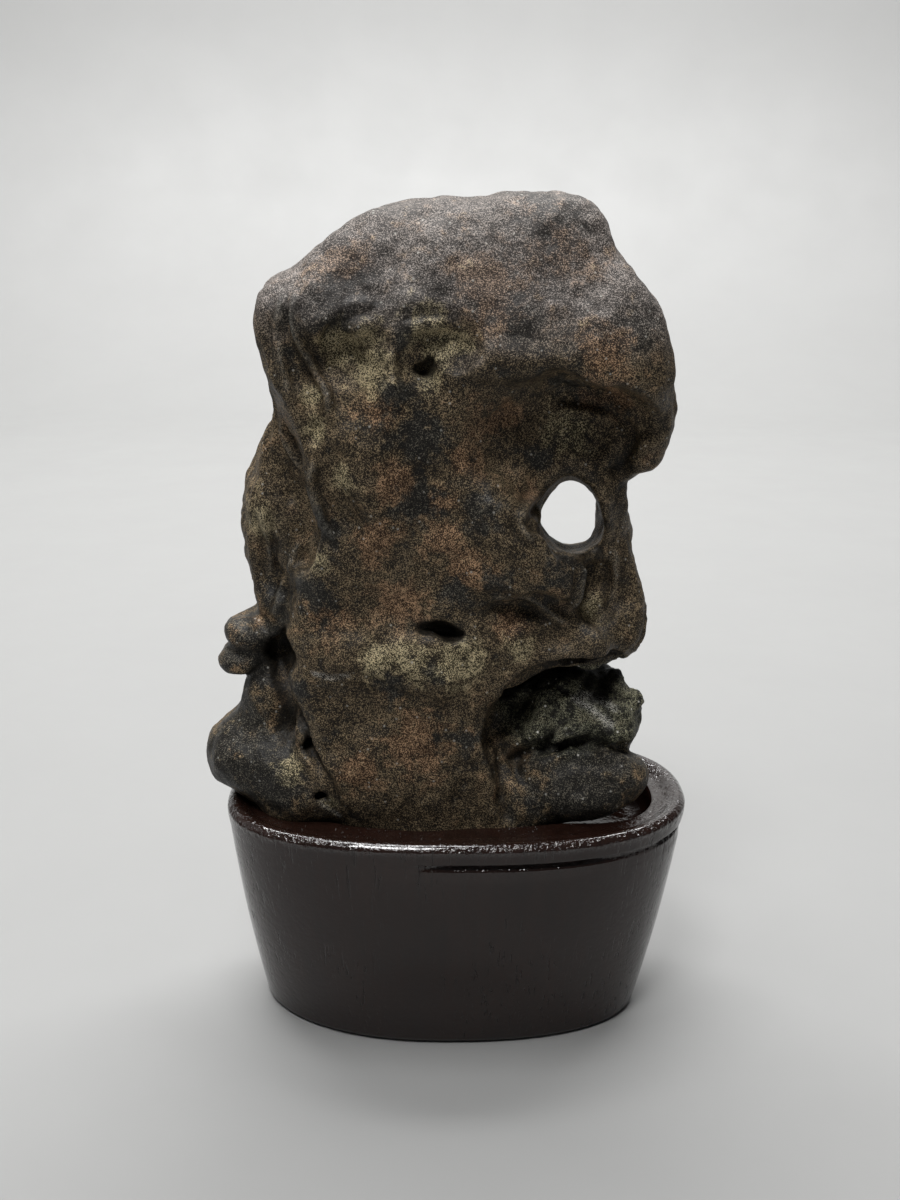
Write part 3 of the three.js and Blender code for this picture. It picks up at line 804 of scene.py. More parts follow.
@dataclass(frozen=True)
class BlackLacquer:
    """Glossy, nearly black mahogany lacquer over open pores."""

    deep: Colour = (0.0080, 0.0038, 0.0028)
    warm: Colour = (0.0210, 0.0090, 0.0062)
    rough: float = 0.05
    upright: Point = (1.0, 1.0, 0.07)
    clouds_per_m: float = 24.0
    figure_per_m: float = 260.0
    pores_per_m: float = 900.0
    dents_per_m: float = 380.0
    dimples_per_m: float = 620.0
    sparkles_per_m: float = 1500.0

    def material(self) -> bpy.types.Material:
        """Faint upright grain in the colour, pores and an uneven skin in the bump.

        Returns:
            The finished material.
        """
        loom = Loom("black_lacquer")
        upright = loom.stretched(self.upright)
        figure = loom.noise(self.figure_per_m, 4.0, 0.6, upright)
        cloud = loom.noise(self.clouds_per_m, 3.0, 0.55)
        rolled = loom.layer("rolled")
        colour = loom.mix((figure * 1.2 + cloud * 1.1 - 0.7).clamp(), self.deep, self.warm)
        pore = loom.noise(self.pores_per_m, 2.0, 0.6, upright).ease(0.58, 0.70) * cloud.ease(0.42, 0.62)
        colour = loom.mix(pore * 0.7, colour, self.deep)
        skin = loom.noise(self.dents_per_m, 3.0, 0.6)
        far, chance = loom.grains(self.dimples_per_m)
        dimple = (1.0 - far.ease(0.2, 0.7)) * chance.ease(0.35, 0.6)
        rough = self.rough + 0.07 * cloud + 0.25 * pore
        relief = skin * (0.16 + 0.60 * rolled) - pore * 0.3 - dimple * (0.02 + 0.25 * rolled)
        sparkle = loom.noise(self.sparkles_per_m, 2.0, 0.7).ease(0.40, 0.62)
        loom.feed(loom.shader.inputs["Coat Weight"], (rolled * (0.15 + sparkle)).clamp())
        fixed = {"IOR": 1.5, "Specular IOR Level": 0.5, "Coat Roughness": 0.04}
        return loom.finish(colour, rough.clamp(), loom.bump(relief), fixed)


@dataclass(frozen=True)
class PaleFloor:
    """Plain pale matt floor."""

    light: Colour = (0.27, 0.27, 0.266)
    shade: Colour = (0.25, 0.25, 0.246)

    def material(self) -> bpy.types.Material:
        """Barely clouded paint.

        Returns:
            The finished material.
        """
        loom = Loom("pale_floor")
        cloud = loom.noise(9.0, 4.0, 0.6)
        colour = loom.mix(cloud, self.light, self.shade)
        return loom.finish(colour, 0.55 + 0.15 * cloud, loom.bump(loom.noise(60.0, 3.0) * 0.1), {})


@dataclass
class Stone:
    """The rock: plates blended with lumps and ridges, cut by hollows and grooves, then weathered."""

    cell: float = 1.36
    low: Point = (-98.0, -40.0, 68.0)
    high: Point = (82.0, 50.0, 306.0)
    foot_z: float = 74.0
    reach: float = 13.0
    crust_sink: float = 0.4
    cap_mid: float = 4.0
    cap_half: float = 33.0
    cap_edge: float = 17.0
    crown_edge: float = 28.0
    body_mid: float = 5.0
    body_half: float = 29.0
    body_edge: float = 12.0
    overhang_edge: float = 5.0
    web_mid: float = 8.0
    web_half: float = 22.0
    strand_half: float = 15.0
    web_edge: float = 9.0
    slab_mid: float = 14.0
    slab_half: float = 20.0
    slab_edge: float = 12.0
    cap_blend: float = 9.0
    web_blend: float = 6.0
    slab_blend: float = 8.0
    flow_height: float = 0.7
    flow_stretch: float = 0.10
    knob_height: float = 1.1
    knob_base: float = 0.5
    pit_depth: float = 0.9
    pit_cell: float = 6.5
    pit_shift: float = 3.0
    pit_radius: float = 0.26
    pits_from: float = 0.72
    pits_all_over: float = 0.4
    crust_top: float = 122.0
    crust_rise: float = 0.5
    # how far a surface facing up counts as higher, for the cap tone: painted top light
    top_light_lean: float = 20.0

    CAP: ClassVar[Outline] = Outline((
        (-57, 269), (-46, 280), (-32, 289), (-16, 295), (0, 298), (16, 299.5), (29, 300), (41, 298),
        (50, 293), (55.5, 284), (63, 274), (69, 264), (71.5, 251), (74, 240), (74.5, 230), (73, 221),
        (70, 214), (64, 211), (54, 218), (42, 228), (22, 237), (2, 245), (-18, 247), (-38, 242),
        (-54, 237), (-59, 243), (-60.5, 252), (-58, 262),
    ))
    BODY: ClassVar[Outline] = Outline((
        (-54, 234), (-49, 222), (-44, 212), (-42, 198), (-44, 185), (-52, 175), (-56, 167), (-58, 155),
        (-58, 148), (-57, 129), (-53, 113), (-48, 97), (-42, 83), (-40, 60), (21, 60), (20, 87),
        (18, 105), (14, 119), (14, 129), (28, 137), (43, 145), (56, 148), (54, 160), (44, 166),
        (42, 176), (38, 186), (32, 195), (31, 203), (34, 215), (38, 228), (32, 245), (-8, 255), (-43, 250),
    ))
    WEB: ClassVar[Outline] = Outline((
        (22, 240), (62, 235), (64, 211), (59, 207), (60, 203), (62, 192), (65, 178), (68, 164),
        (68.5, 153), (66, 143), (60, 139), (32, 140), (22, 150),
    ))
    SLAB: ClassVar[Outline] = Outline((
        (-48, 236), (-56, 231), (-62, 225), (-67, 216), (-71, 203), (-73, 192), (-73, 178), (-71, 165),
        (-69, 153), (-64, 140), (-38, 140), (-33, 190), (-38, 236),
    ))
    LUMPS: ClassVar[tuple[Lump, ...]] = (
        # lobe and neck low on the left
        Lump((-71, 4, 102.5), (21, 23, 16.5), 5),
        Lump((-55, 0, 93), (20, 23, 17), 9),
        Lump((-65, 6, 124), (12, 17, 19), 8, (0, 8, 0)),
        # knob of two buns above the neck
        Lump((-72, 4, 149), (9.5, 13, 6.5), 3, (0, 12, 0)),
        Lump((-74, 4, 140), (10, 12, 6.2), 2.5, (0, -8, 0)),
        Lump((-62, 9, 144), (12, 15, 13), 6),
        # crust and smooth knuckle low on the right
        Lump((44, 5, 111), (27, 23, 27), 3),
        Lump((56, 4, 118), (13, 16, 15), 5),
        Lump((49, -10, 97), (25, 17, 14.5), 2.5, (0, -5, 0)),
        Lump((24, -4, 86), (18, 19, 14), 7),
        # belly, skirt and cheek of the front
        Lump((-18, -13, 147), (36, 17, 14), 9, (0, 6, 0)),
        Lump((-14, -7, 105), (35, 20, 40), 10),
        Lump((50, -2, 152), (18, 15, 10), 6, (0, -4, 0)),
        Lump((-28, -10, 205), (15, 18, 30), 10, (0, -6, 0)),
        Lump((14, -9, 195), (13, 18, 28), 10, (0, 8, 0)),
        Lump((27, -12, 180), (15, 15, 20), 8, (0, 6, 0)),
        # corner and crown of the cap
        Lump((-55, 2, 268), (6, 9, 6), 4),
        Lump((12, 14, 283), (38, 18, 14), 10, (0, 4, 0)),
        Lump((8, -10, 272), (42, 16, 18), 12, (0, 4, 0)),
    )
    RIDGES: ClassVar[tuple[Strip, ...]] = (
        # brow under the cap and the post between its two hollows
        Strip((
            (-52, -14, 262, 8), (-20, -23, 264, 8), (7, -23, 254, 8), (22, -22, 252, 8),
            (40, -21, 252, 8), (55, -15, 247, 8), (65, -6, 233, 7),
        ), 8),
        Strip(((-20, -25, 260, 4.5), (-18, -25, 244, 5)), 7),
        # edge beside the recess under the hole
        Strip(((35, -17, 192, 7), (38, -18.5, 168, 7.5)), 5),
        # folds down the left flank
        Strip((
            (-52, -8, 266, 7), (-50, -12, 250, 7), (-45, -15, 236, 7), (-40, -18, 222, 7),
            (-38, -19, 206, 7), (-41, -18, 192, 7), (-48, -15, 178, 7),
        ), 7),
        Strip((
            (-54, 4, 252, 6), (-50, -1, 232, 7), (-48, -4, 214, 7), (-50, -5, 196, 8),
            (-53, -6, 180, 8),
        ), 6),
        # folds down the back
        Strip((
            (24, 30, 272, 8), (12, 33, 246, 9), (10, 33, 214, 9), (-2, 33, 190, 9), (-6, 33, 166, 8),
        ), 9),
        Strip(((-38, 28, 262, 7), (-48, 27, 236, 7), (-58, 24, 210, 7), (-60, 24, 180, 7)), 8),
        Strip(((2, 32, 140, 9), (-10, 30, 112, 9), (-12, 26, 86, 9)), 9),
    )
    HOLLOWS: ClassVar[tuple[Lump, ...]] = (
        # two hollows under the brow, the second with a pit
        Lump((-33, -31, 250.5), (14.3, 12, 10.5), 1.4, (0, 25, 0)),
        Lump((-30, -33, 241), (9, 11, 14), 5, (0, -18, 0)),
        Lump((-24, -32, 256), (7.2, 9.8, 6.5), 1.2),
        Lump((-2, -31.5, 254.5), (13.2, 11, 9.4), 1.4, (0, 15, 0)),
        Lump((-7, -32.5, 244), (8, 10.5, 10), 4, (0, -12, 0)),
        Lump((-8.5, -22, 246.5), (2.8, 5.5, 2.2), 1, (0, 35, 0)),
        Lump((-6.5, -22, 249), (1.9, 5, 2.6), 1, (0, 10, 0)),
        # cove under the cap and mouth of the hole
        Lump((40, -25, 222), (33, 16.5, 23), 7, (0, 10, 0)),
        Lump((46, -20, 236), (18, 12, 8), 4, (0, 14, 0)),
        Lump((42, -22, 196), (14, 14.5, 12.5), 4),
        # slit in the belly
        Lump((-2.5, -24, 159.3), (7.2, 8.5, 2.6), 1, (-28, 12, 0)),
        Lump((-8, -25.5, 159.8), (5.5, 5.6, 2.2), 1.2, (-28, -4, 0)),
        # recess between the strand and the body
        Lump((51.5, -10.5, 169), (6.8, 8, 11), 1.5, (8, 0, 6)),
        Lump((52, -13, 160.5), (4.5, 6.5, 4.5), 2, (0, 20, 0)),
        # dark recess behind the overhang
        Lump((21, -17, 122), (10, 16, 12), 1.5, (0, 35, 0)),
        # small holes beside the skirt and the knob
        Lump((19.5, -20, 109), (3, 10, 4.5), 2, (0, 20, 0)),
        Lump((-52, -16, 113), (4, 9, 4), 2),
        Lump((-45, -19, 96), (5, 8, 4.5), 2),
        Lump((-60, -8, 146), (5, 11, 6), 2.5),
        # hollows in the back
        Lump((-16, 40, 236), (23, 15, 20), 9, (0, 20, 0)),
        Lump((36, 36, 188), (20, 18, 20), 7),
        Lump((-24, 40, 150), (18, 13, 26), 9, (0, -15, 0)),
        Lump((28, 40, 118), (16, 14, 14), 7),
    )
    HOLE: ClassVar[tuple[Lump, ...]] = (Lump((43, 0, 193.5), (11.2, 60, 12.3), 3, (-15, 0, -6)),)
    GROOVES: ClassVar[tuple[Strip, ...]] = (
        # side of the body by the strand
        Strip(((50.5, -14, 187, 6), (51, -14, 164, 6)), 1.5),
        # scalloped fold of the cheek
        Strip((
            (10, -30, 163, 8), (18.3, -29, 165, 9), (27, -29.5, 165.5, 9), (33, -28, 161.2, 9),
            (40, -26.5, 157.9, 9),
        ), 3),
        # scalloped valleys down the left flank
        Strip((
            (-56, -30, 262, 9), (-51.5, -31.5, 251.7, 9), (-46.3, -29.5, 241.3, 9),
            (-43.4, -29.8, 232, 9), (-46, -31, 222, 8),
        ), 2.5),
        Strip((
            (-57.6, -12.8, 213, 9), (-54.4, -15.4, 202.7, 9), (-51.6, -17.6, 194.5, 9),
            (-55, -17.2, 186, 9),
        ), 3),
        Strip(((-65.7, -9, 182, 8), (-67.2, -8.4, 167, 8)), 3),
        Strip(((-40.5, -34.5, 217, 10), (-40.9, -33, 206.4, 10), (-37.2, -33.4, 194, 10)), 4),
        # gap under the overhang
        Strip((
            (22, -20, 135, 3.2), (30, -19, 139.5, 2.8), (40, -17, 144, 2.4), (50, -13, 146.5, 2.2),
            (62, -4, 144, 2),
        ), 1),
        # gaps round the knuckle
        Strip((
            (21, -17, 107, 3), (30, -18, 110.5, 3), (40, -19, 113.5, 3), (50, -19, 114, 3),
            (60, -17, 113, 2.5),
        ), 1.5),
        Strip((
            (16, -20, 114, 3), (17.2, -21.5, 105, 3), (18, -23.5, 97, 2.2), (18.5, -25.5, 88, 1.6),
        ), 1.5),
        # gap between the body and the lobe on the left
        Strip((
            (-60, -6, 139, 3), (-56, -14, 131, 3), (-52.5, -19.5, 122, 3), (-50, -21.5, 113, 3),
            (-45, -25, 104, 2.5), (-42.5, -25.5, 97, 2.5), (-41, -24.5, 89, 2),
        ), 2),
    )
    FOREHEAD: ClassVar[Slope] = Slope(-31.0, 254.0, 26.0, 9.0)
    # swellings: of the whole stone, of its skin, of the crust, and of the crust's skin
    BROAD: ClassVar[tuple[Swell, ...]] = (Swell(1.9, 26.0, 5.1), Swell(1.3, 12.0, 11.3))
    FINE: ClassVar[tuple[Swell, ...]] = (Swell(0.55, 6.0, 2.3), Swell(0.34, 3.1, 9.1))
    CAVITIES: ClassVar[tuple[Swell, ...]] = (Swell(2.0, 8.0, 4.4), Swell(1.4, 4.2, 6.6))
    KNOBS: ClassVar[tuple[Swell, ...]] = (Swell(1.0, 5.0, 4.4), Swell(0.6, 2.9, 6.6))
    # sideways wander of hollows and grooves, with a shift of its own along each axis
    WANDER: ClassVar[tuple[Swell, ...]] = (Swell(2.0, 13.0, 0.0), Swell(0.8, 5.5, 2.0))
    WANDER_SHIFTS: ClassVar[Point] = (3.7, 7.9, 13.1)
    # flow lines, how they sway, and the flanks they run down: x outwards, z of the start and of the end
    FLOW: ClassVar[Swell] = Swell(1.0, 4.2, 1.7)
    SWAY: ClassVar[Swell] = Swell(6.0, 30.0, 8.2)
    LEFT_FLANK: ClassVar[tuple[Span, ...]] = ((34.0, 46.0), (150.0, 170.0), (258.0, 270.0))
    RIGHT_FLANK: ClassVar[tuple[Span, ...]] = ((46.0, 54.0), (138.0, 146.0), (206.0, 216.0))
    # where the crown rounds off, the overhang and the strand begin, pits gather, cap and foot start
    CROWN_Z: ClassVar[Span] = (240.0, 284.0)
    OVERHANG_X: ClassVar[Span] = (4.0, 18.0)
    OVERHANG_Z: ClassVar[Span] = (146.0, 166.0)
    STRAND_X: ClassVar[Span] = (44.0, 60.0)
    PITTED_X: ClassVar[Span] = (20.0, 50.0)
    PITTED_Z: ClassVar[Span] = (225.0, 245.0)
    CAP_Z: ClassVar[Span] = (246.0, 278.0)
    FOOT_Z: ClassVar[Span] = (80.0, 90.0)
    # distances at which hollows are felt outwards and crests inwards
    HOLLOW_STEPS: ClassVar[tuple[float, ...]] = (3.0, 7.0, 14.0)
    CREST_STEPS: ClassVar[tuple[float, ...]] = (2.5, 5.0)
    # the crust's reach along each axis, its middle and radii, and the smooth knuckle that it leaves out
    CRUST_BOX: ClassVar[tuple[Span, ...]] = ((10, 82), (-36, 42), (96, 152))
    CRUST_MIDDLE: ClassVar[Point] = (46.0, 2.0, 124.0)
    CRUST_RADII: ClassVar[Point] = (30.0, 32.0, 22.0)
    KNUCKLE: ClassVar[Lump] = Lump((49.0, -8.0, 96.0), (26.0, 18.0, 14.5), 1.0, (0.0, -5.0, 0.0))
    # lines raised along the crests, and lightened in the colour as wear and a painted highlight
    CRESTS: ClassVar[tuple[Thread, ...]] = (
        # edges of the folds down the left flank
        Thread((
            (-52.8, -18.4, 270.7), (-53.6, -21.4, 265.4), (-54.5, -20.6, 258.4), (-53.7, -21.8, 250.1),
            (-52.1, -22.4, 242.2), (-52.3, -23.1, 236.1),
        ), 1.2, 1.2),
        Thread((
            (-48, -18.7, 272.1), (-49.1, -22.5, 266.9), (-49.2, -23.4, 261.9), (-48, -23.3, 256.9),
            (-46.5, -22.1, 253), (-44.4, -20.7, 249), (-42.7, -20.4, 245.2), (-39.6, -23.3, 240.4),
            (-38.7, -24.3, 236.3), (-38.9, -24, 231.4),
        ), 2.3, 1.2),
        Thread((
            (-56.3, -8, 227), (-55.7, -8.4, 224), (-53.8, -9.6, 219.7), (-51.3, -10.8, 215.8),
            (-49, -13, 212),
        ), 1.6, 1.2),
        Thread((
            (-43, -23.8, 218), (-44.4, -23.7, 215.7), (-45.1, -23.2, 209.6), (-43.9, -22.9, 203.4),
            (-42.2, -22.1, 197.1), (-39.9, -21.8, 192.9), (-37.4, -22.6, 190),
        ), 2.2, 1.2),
        Thread(((-51.4, -6.9, 186), (-53.6, -7.5, 182.4), (-55.5, -9.8, 178.7), (-57, -8, 174)), 1.2, 1.2),
        Thread((
            (-58.2, -3.2, 171.7), (-60, -3.7, 166.8), (-60.9, -6.4, 162.1), (-62.3, -5.4, 157.3),
        ), 1.2, 1.2),
        Thread((
            (-65.6, -4.9, 198.8), (-64.3, -5.2, 193.5), (-63.6, -4.1, 188.4), (-63.3, -1.6, 181.1),
            (-63.8, -0.3, 174.6), (-64.6, -0.4, 169.1),
        ), 1.3, 1.2),
        # edge beside the recess, rim of the hole's mouth, fold of the cheek and a rib of the strand
        Thread((
            (44.2, -17.9, 181.7), (44.2, -20.3, 174.5), (42.9, -20.2, 168), (40.2, -17.8, 163.9),
        ), 1.8, 1.3),
        Thread((
            (31.4, -10.8, 206), (26.5, -18.1, 202.7), (23, -26.8, 199.4), (24.1, -27.6, 195),
            (28.1, -27.8, 191.5),
        ), 1.5, 1.3),
        Thread((
            (11.7, -22.6, 167.3), (17.6, -25.4, 172.1), (25.4, -21.2, 171.1), (30.7, -19, 167.6),
            (36.6, -18.4, 162), (41.9, -17.9, 158.5),
        ), 1.3, 1.3),
        Thread((
            (56.2, -6.7, 184.3), (58, -6.4, 178.8), (57.4, -6.7, 167.8), (54.9, -8.2, 160.5),
            (50.9, -12.4, 157),
        ), 0.9, 1.4),
    )
    # lines cut into the surface, also darkened in the colour as painted shade
    CREASES: ClassVar[tuple[Thread, ...]] = (
        # upper edges of the two hollows and back of the cove
        Thread((
            (-40.4, -20.5, 254.7), (-37.8, -21.4, 258.5), (-33.7, -23.9, 262.4), (-28, -23.9, 264.4),
            (-22.4, -23.9, 264.8),
        ), -1.6, 1.7),
        Thread((
            (-14.5, -24.7, 262.8), (-9.8, -24.2, 264.4), (-5.1, -23.8, 264.4), (0.5, -24.1, 263.5),
            (5.6, -24.6, 261.3), (8.9, -25.4, 258.2),
        ), -1.4, 1.7),
        Thread((
            (31.2, -10.5, 234.4), (40.5, -6.5, 234.2), (49.9, -8.1, 232.5), (56.2, -10.6, 229.9),
            (60.2, -11.7, 225.6), (61.4, -12.3, 219.7),
        ), -0.9, 1.2),
        # beside the skirt, over the knuckle and beside the lobe
        Thread((
            (18, -12.6, 106.6), (18.4, -18.3, 102.2), (18.8, -21.4, 96.6), (19.9, -24, 89.6),
            (20.5, -24.9, 84.6),
        ), -2.4, 2.2),
        Thread((
            (21.2, -14.9, 102.9), (24.5, -12.6, 106), (29.7, -15, 109.6), (39.5, -14.2, 112.2),
            (50, -16.5, 113.9), (61.5, -12, 110.5), (67.7, -12.2, 105.8),
        ), -2.6, 2.3),
        Thread((
            (-51.1, -18.7, 119), (-48.6, -20.1, 111.5), (-43.4, -26.2, 105.1), (-41, -26.5, 98.2),
            (-39.2, -24.6, 89.9),
        ), -1.8, 1.8),
        # foot of the recess, inside of the hole's mouth and below the cheek
        Thread(((48.5, 0, 181), (48.9, -5.1, 175.6), (49.1, -4.9, 167), (45.5, -11.5, 162.2)), -1.6, 1.8),
        Thread((
            (32, -5, 201), (30, -11.1, 199.4), (27.1, -22.7, 198.3), (28.6, -24, 194.6),
            (32.5, -12, 188),
        ), -1.2, 1.8),
        Thread((
            (10.2, -21.8, 163.2), (14.8, -21.4, 166.8), (21, -19.8, 167.3), (27.2, -19, 165),
            (32.9, -18.9, 160.5),
        ), -1.1, 1.5),
        # behind the right end of the brow, and faintly across the belly
        Thread((
            (61, -12.5, 226), (60.4, -11.6, 222.1), (58.8, -10.6, 216.8), (56.2, -8.8, 212.3),
            (52.7, -9.3, 210.4),
        ), -2.2, 2.4),
        Thread((
            (-48, -24.5, 142.5), (-41, -25.3, 143), (-33.4, -26.3, 144.8), (-24, -26.3, 143),
            (-17, -26.3, 138), (-12, -26.3, 133.5),
        ), -0.8, 1.2),
    )
    PALE: ClassVar[tuple[Thread, ...]] = (
        # dry streak on the belly, rim of the small hole and crystals in the crust
        Thread((
            (-48.5, -24.2, 143.8), (-45.4, -24.7, 143.4), (-41.7, -25.3, 142.6), (-37.5, -26.3, 143),
            (-33, -27.4, 145),
        ), 0.0, 1.2),
        Thread(((-47, -24.2, 93.5), (-44.9, -24.2, 92), (-41.2, -23.5, 89.4), (-39, -23.2, 87)), 0.0, 1.2),
        Thread((
            (43, -10, 129.5), (45.8, -10.6, 127.7), (51.7, -11.6, 124), (56.4, -14.3, 120.5),
            (59, -15, 119),
        ), 0.0, 2.4),
        Thread((
            (45, -10, 130), (48.6, -9.3, 128.8), (54.2, -8.4, 126.7), (58.3, -10.9, 124.9),
            (61, -11, 124),
        ), 0.0, 2.4),
    )
    # patches of tone as x, y, z and radius
    PATCHES: ClassVar[dict[Tone, tuple[tuple[float, float, float, float], ...]]] = {
        Tone.RUST: (
            (-23, -25, 232, 7), (-17, -26, 211, 8), (-26, -27, 192, 8), (-3, -22, 204, 5),
            (-17, -25, 167, 7), (-1, -24, 191, 6), (-33, -17, 279, 9), (13, -22, 271, 13),
            (47, -29, 254, 10), (56, -11, 236, 7), (16, -15, 231, 8), (6, -25, 182, 7),
            (21, -21, 160, 7), (-10, -27, 118, 13), (-32, -27, 108, 8), (-41, -22, 162, 7),
            (5, -22, 218, 6), (27, -17, 203, 4), (34, -16, 283, 10), (46, -6, 235, 6),
            (10, 34, 240, 26), (-30, 30, 190, 24),
        ),
        Tone.SLATE: (
            (-37, -22, 269, 11), (-48, -20, 263, 7), (-52, -18, 251, 6), (-15, -25, 257, 4),
            (-18, -27, 241, 8), (-8, -24, 226, 8), (-11, -24, 202, 9), (-41, -22, 196, 5),
            (-48, -20, 172, 8), (2, -23, 173, 7), (38, -12, 242, 7), (22, -25, 261, 6),
            (10, -26, 202, 7), (16, -28, 178, 7), (36, -25, 180, 9), (36, -22, 170, 6),
            (-20, -27, 139, 7), (-4, -29, 145, 4), (48, -23, 99, 30), (-77, -5, 146, 26),
            (-75, -12, 110, 23), (-60, -20, 96, 10), (30, -10, 215, 5), (30, -7, 298, 12),
            (60, -24, 260, 7), (-52, -22, 137, 5), (7, -25, 119, 5), (30, 30, 262, 20),
            (-10, 34, 120, 22),
        ),
        Tone.OLIVE: (
            (-33, -18, 254, 10), (-25, -21, 247, 10), (-26, -22, 258, 6), (-8, -24, 261, 8),
            (-3, -22, 255, 8), (3, -22, 256, 6), (-6, -20, 244, 6), (-34, -26, 212, 5),
            (-44, -22, 184, 5), (-43, -22, 228, 5), (-44, -21, 239, 4), (49, -6, 160, 7),
            (4, -26, 148, 10), (-12, -28, 149, 8), (40, -8, 225, 9), (32, 4, 194, 5), (39, -8, 131, 7),
            (61, -14, 113, 6), (65, -6, 126, 7), (-66, -4, 193, 8), (-43, -24, 94, 4),
            (-57, -20, 105, 6), (-15, -28, 152, 5), (24, -23, 152, 6), (-25, -28, 150, 8),
            (0, 30, 200, 20),
        ),
    }

    def lattice(self) -> Lattice:
        """Distances to the stone: plates, lumps and ridges, then the cuts, the swellings and the foot.

        Returns:
            The lattice, with no two parts that meet only along an edge.
        """
        low, high = np.array(self.low), np.array(self.high)
        counts = np.ceil((high - low) / self.cell).astype(int) + 1
        axes = [low[i] + self.cell * np.arange(counts[i]) for i in range(3)]
        x, y, z = np.ix_(*axes)
        whole = np.broadcast_arrays(x, y, z)
        wavy = [axis + self._waver(x, y, z, shift) for axis, shift in zip((x, y, z), self.WANDER_SHIFTS)]
        values = self.plates(x, y, z).astype(np.float32)
        self._join(values, (*self.LUMPS, *self.RIDGES), soften, whole)
        values = carve(values, self.FOREHEAD.distance(y, z).astype(np.float32), self.FOREHEAD.blend)
        self._join(values, self.HOLE, carve, whole)
        self._join(values, (*self.HOLLOWS, *self.GROOVES), carve, wavy)
        values += sum(swell.at(x, y, z) for swell in self.BROAD)
        self._roughen(values, axes)
        values = np.maximum(values, (self.foot_z - z).astype(np.float32))
        lattice = Lattice(low, self.cell, values)
        lattice.close_pinches()
        return lattice

    def _join(
        self, values: Array, shapes: Sequence[Union[Lump, Strip]], join: Join, places: Sequence[Array]
    ) -> None:
        """Adds or cuts shapes in place, each worked out only near itself.

        Args:
            values: Distances on the lattice.
            shapes: Lumps and strips, in order.
            join: How each is blended in.
            places: x, y and z of the lattice.
        """
        low = np.array(self.low)
        for shape in shapes:
            corners = shape.box()
            starts = np.floor((corners[0] - self.reach - low) / self.cell).astype(int)
            ends = np.ceil((corners[1] + self.reach - low) / self.cell).astype(int)
            near = tuple(slice(max(a, 0), max(b, 0)) for a, b in zip(starts, ends))
            local = (axis[near] for axis in places)
            values[near] = join(values[near], shape.distance(*local), shape.blend)

    def _waver(self, x: Array, y: Array, z: Array, shift: float) -> Array:
        """Sideways wander that keeps hollows and grooves from being regular."""
        return sum(Swell(s.height, s.size, s.shift + shift).at(x, y, z) for s in self.WANDER)

    def _roughen(self, values: Array, axes: list[Array]) -> None:
        """Breaks the crust up in place: knobs and cavities of two sizes added to its distances.

        Args:
            values: Distances on the lattice.
            axes: Places of the lattice along x, y and z.
        """
        near = tuple(slice(*np.searchsorted(axis, span)) for axis, span in zip(axes, self.CRUST_BOX))
        x, y, z = np.ix_(*(axis[cut] for axis, cut in zip(axes, near)))
        broken = sum(swell.at(x, y, z) for swell in self.CAVITIES)
        values[near] += self.crust(x, y, z) * (broken + self.crust_sink)

    def plates(self, x: Array, y: Array, z: Array) -> Array:
        """Cap, body, web and slab blended together.

        Args:
            x, y, z: Places, of shapes that broadcast.

        Returns:
            Distances, negative inside.
        """
        crown = self.cap_edge + (self.crown_edge - self.cap_edge) * ease(z, *self.CROWN_Z)
        under = ease(x, *self.OVERHANG_X) * (1.0 - ease(z, *self.OVERHANG_Z))
        edge = self.body_edge + (self.overhang_edge - self.body_edge) * under
        half = self.web_half + (self.strand_half - self.web_half) * ease(x, *self.STRAND_X)
        cap = plate(self.CAP.distance(x, z), y, self.cap_mid, self.cap_half, crown)
        body = plate(self.BODY.distance(x, z), y, self.body_mid, self.body_half, edge)
        web = plate(self.WEB.distance(x, z), y, self.web_mid, half, self.web_edge)
        slab = plate(self.SLAB.distance(x, z), y, self.slab_mid, self.slab_half, self.slab_edge)
        joined = soften(soften(cap, body, self.cap_blend), web, self.web_blend)
        return soften(joined, slab, self.slab_blend)

    def weather(self, points: Array, crust: Array) -> Array:
        """How far each point moves out: fine swellings, flow lines on the flanks, pits and crust.

        Args:
            points: Places on the surface.
            crust: Share of rough crust at each.

        Returns:
            Distances along the normals.
        """
        x, y, z = points.T
        fine = sum(swell.at(x, y, z) for swell in self.FINE)
        sway = self.SWAY.at(x, y, z)
        flow = 1.0 - 2.0 * np.abs(self.FLOW.at(x + sway, y + sway, self.flow_stretch * z))
        left, right = self._flank(-x, z, *self.LEFT_FLANK), self._flank(x, z, *self.RIGHT_FLANK)
        knobbly = sum(np.abs(swell.at(x, y, z)) for swell in self.KNOBS) - self.knob_base
        gap, chance = nearest_seed(points, self.pit_cell, self.pit_shift)
        pit = np.maximum(1.0 - gap / self.pit_radius, 0.0) * (chance > self.pits_from)
        pitted = ease(x, *self.PITTED_X) * ease(z, *self.PITTED_Z) + self.pits_all_over
        lines = sum(thread.lift(points) for thread in self.CRESTS + self.CREASES)
        flanks = self.flow_height * flow * np.maximum(left, right)
        rough = self.knob_height * knobbly * crust
        return fine + lines + flanks + rough - self.pit_depth * pit * np.clip(pitted, 0.0, 1.0)

    @staticmethod
    def _flank(x: Array, z: Array, outwards: Span, start: Span, end: Span) -> Array:
        """Share of a flank: further out than a width, between two heights."""
        return ease(x, *outwards) * ease(z, *start) * (1.0 - ease(z, *end))

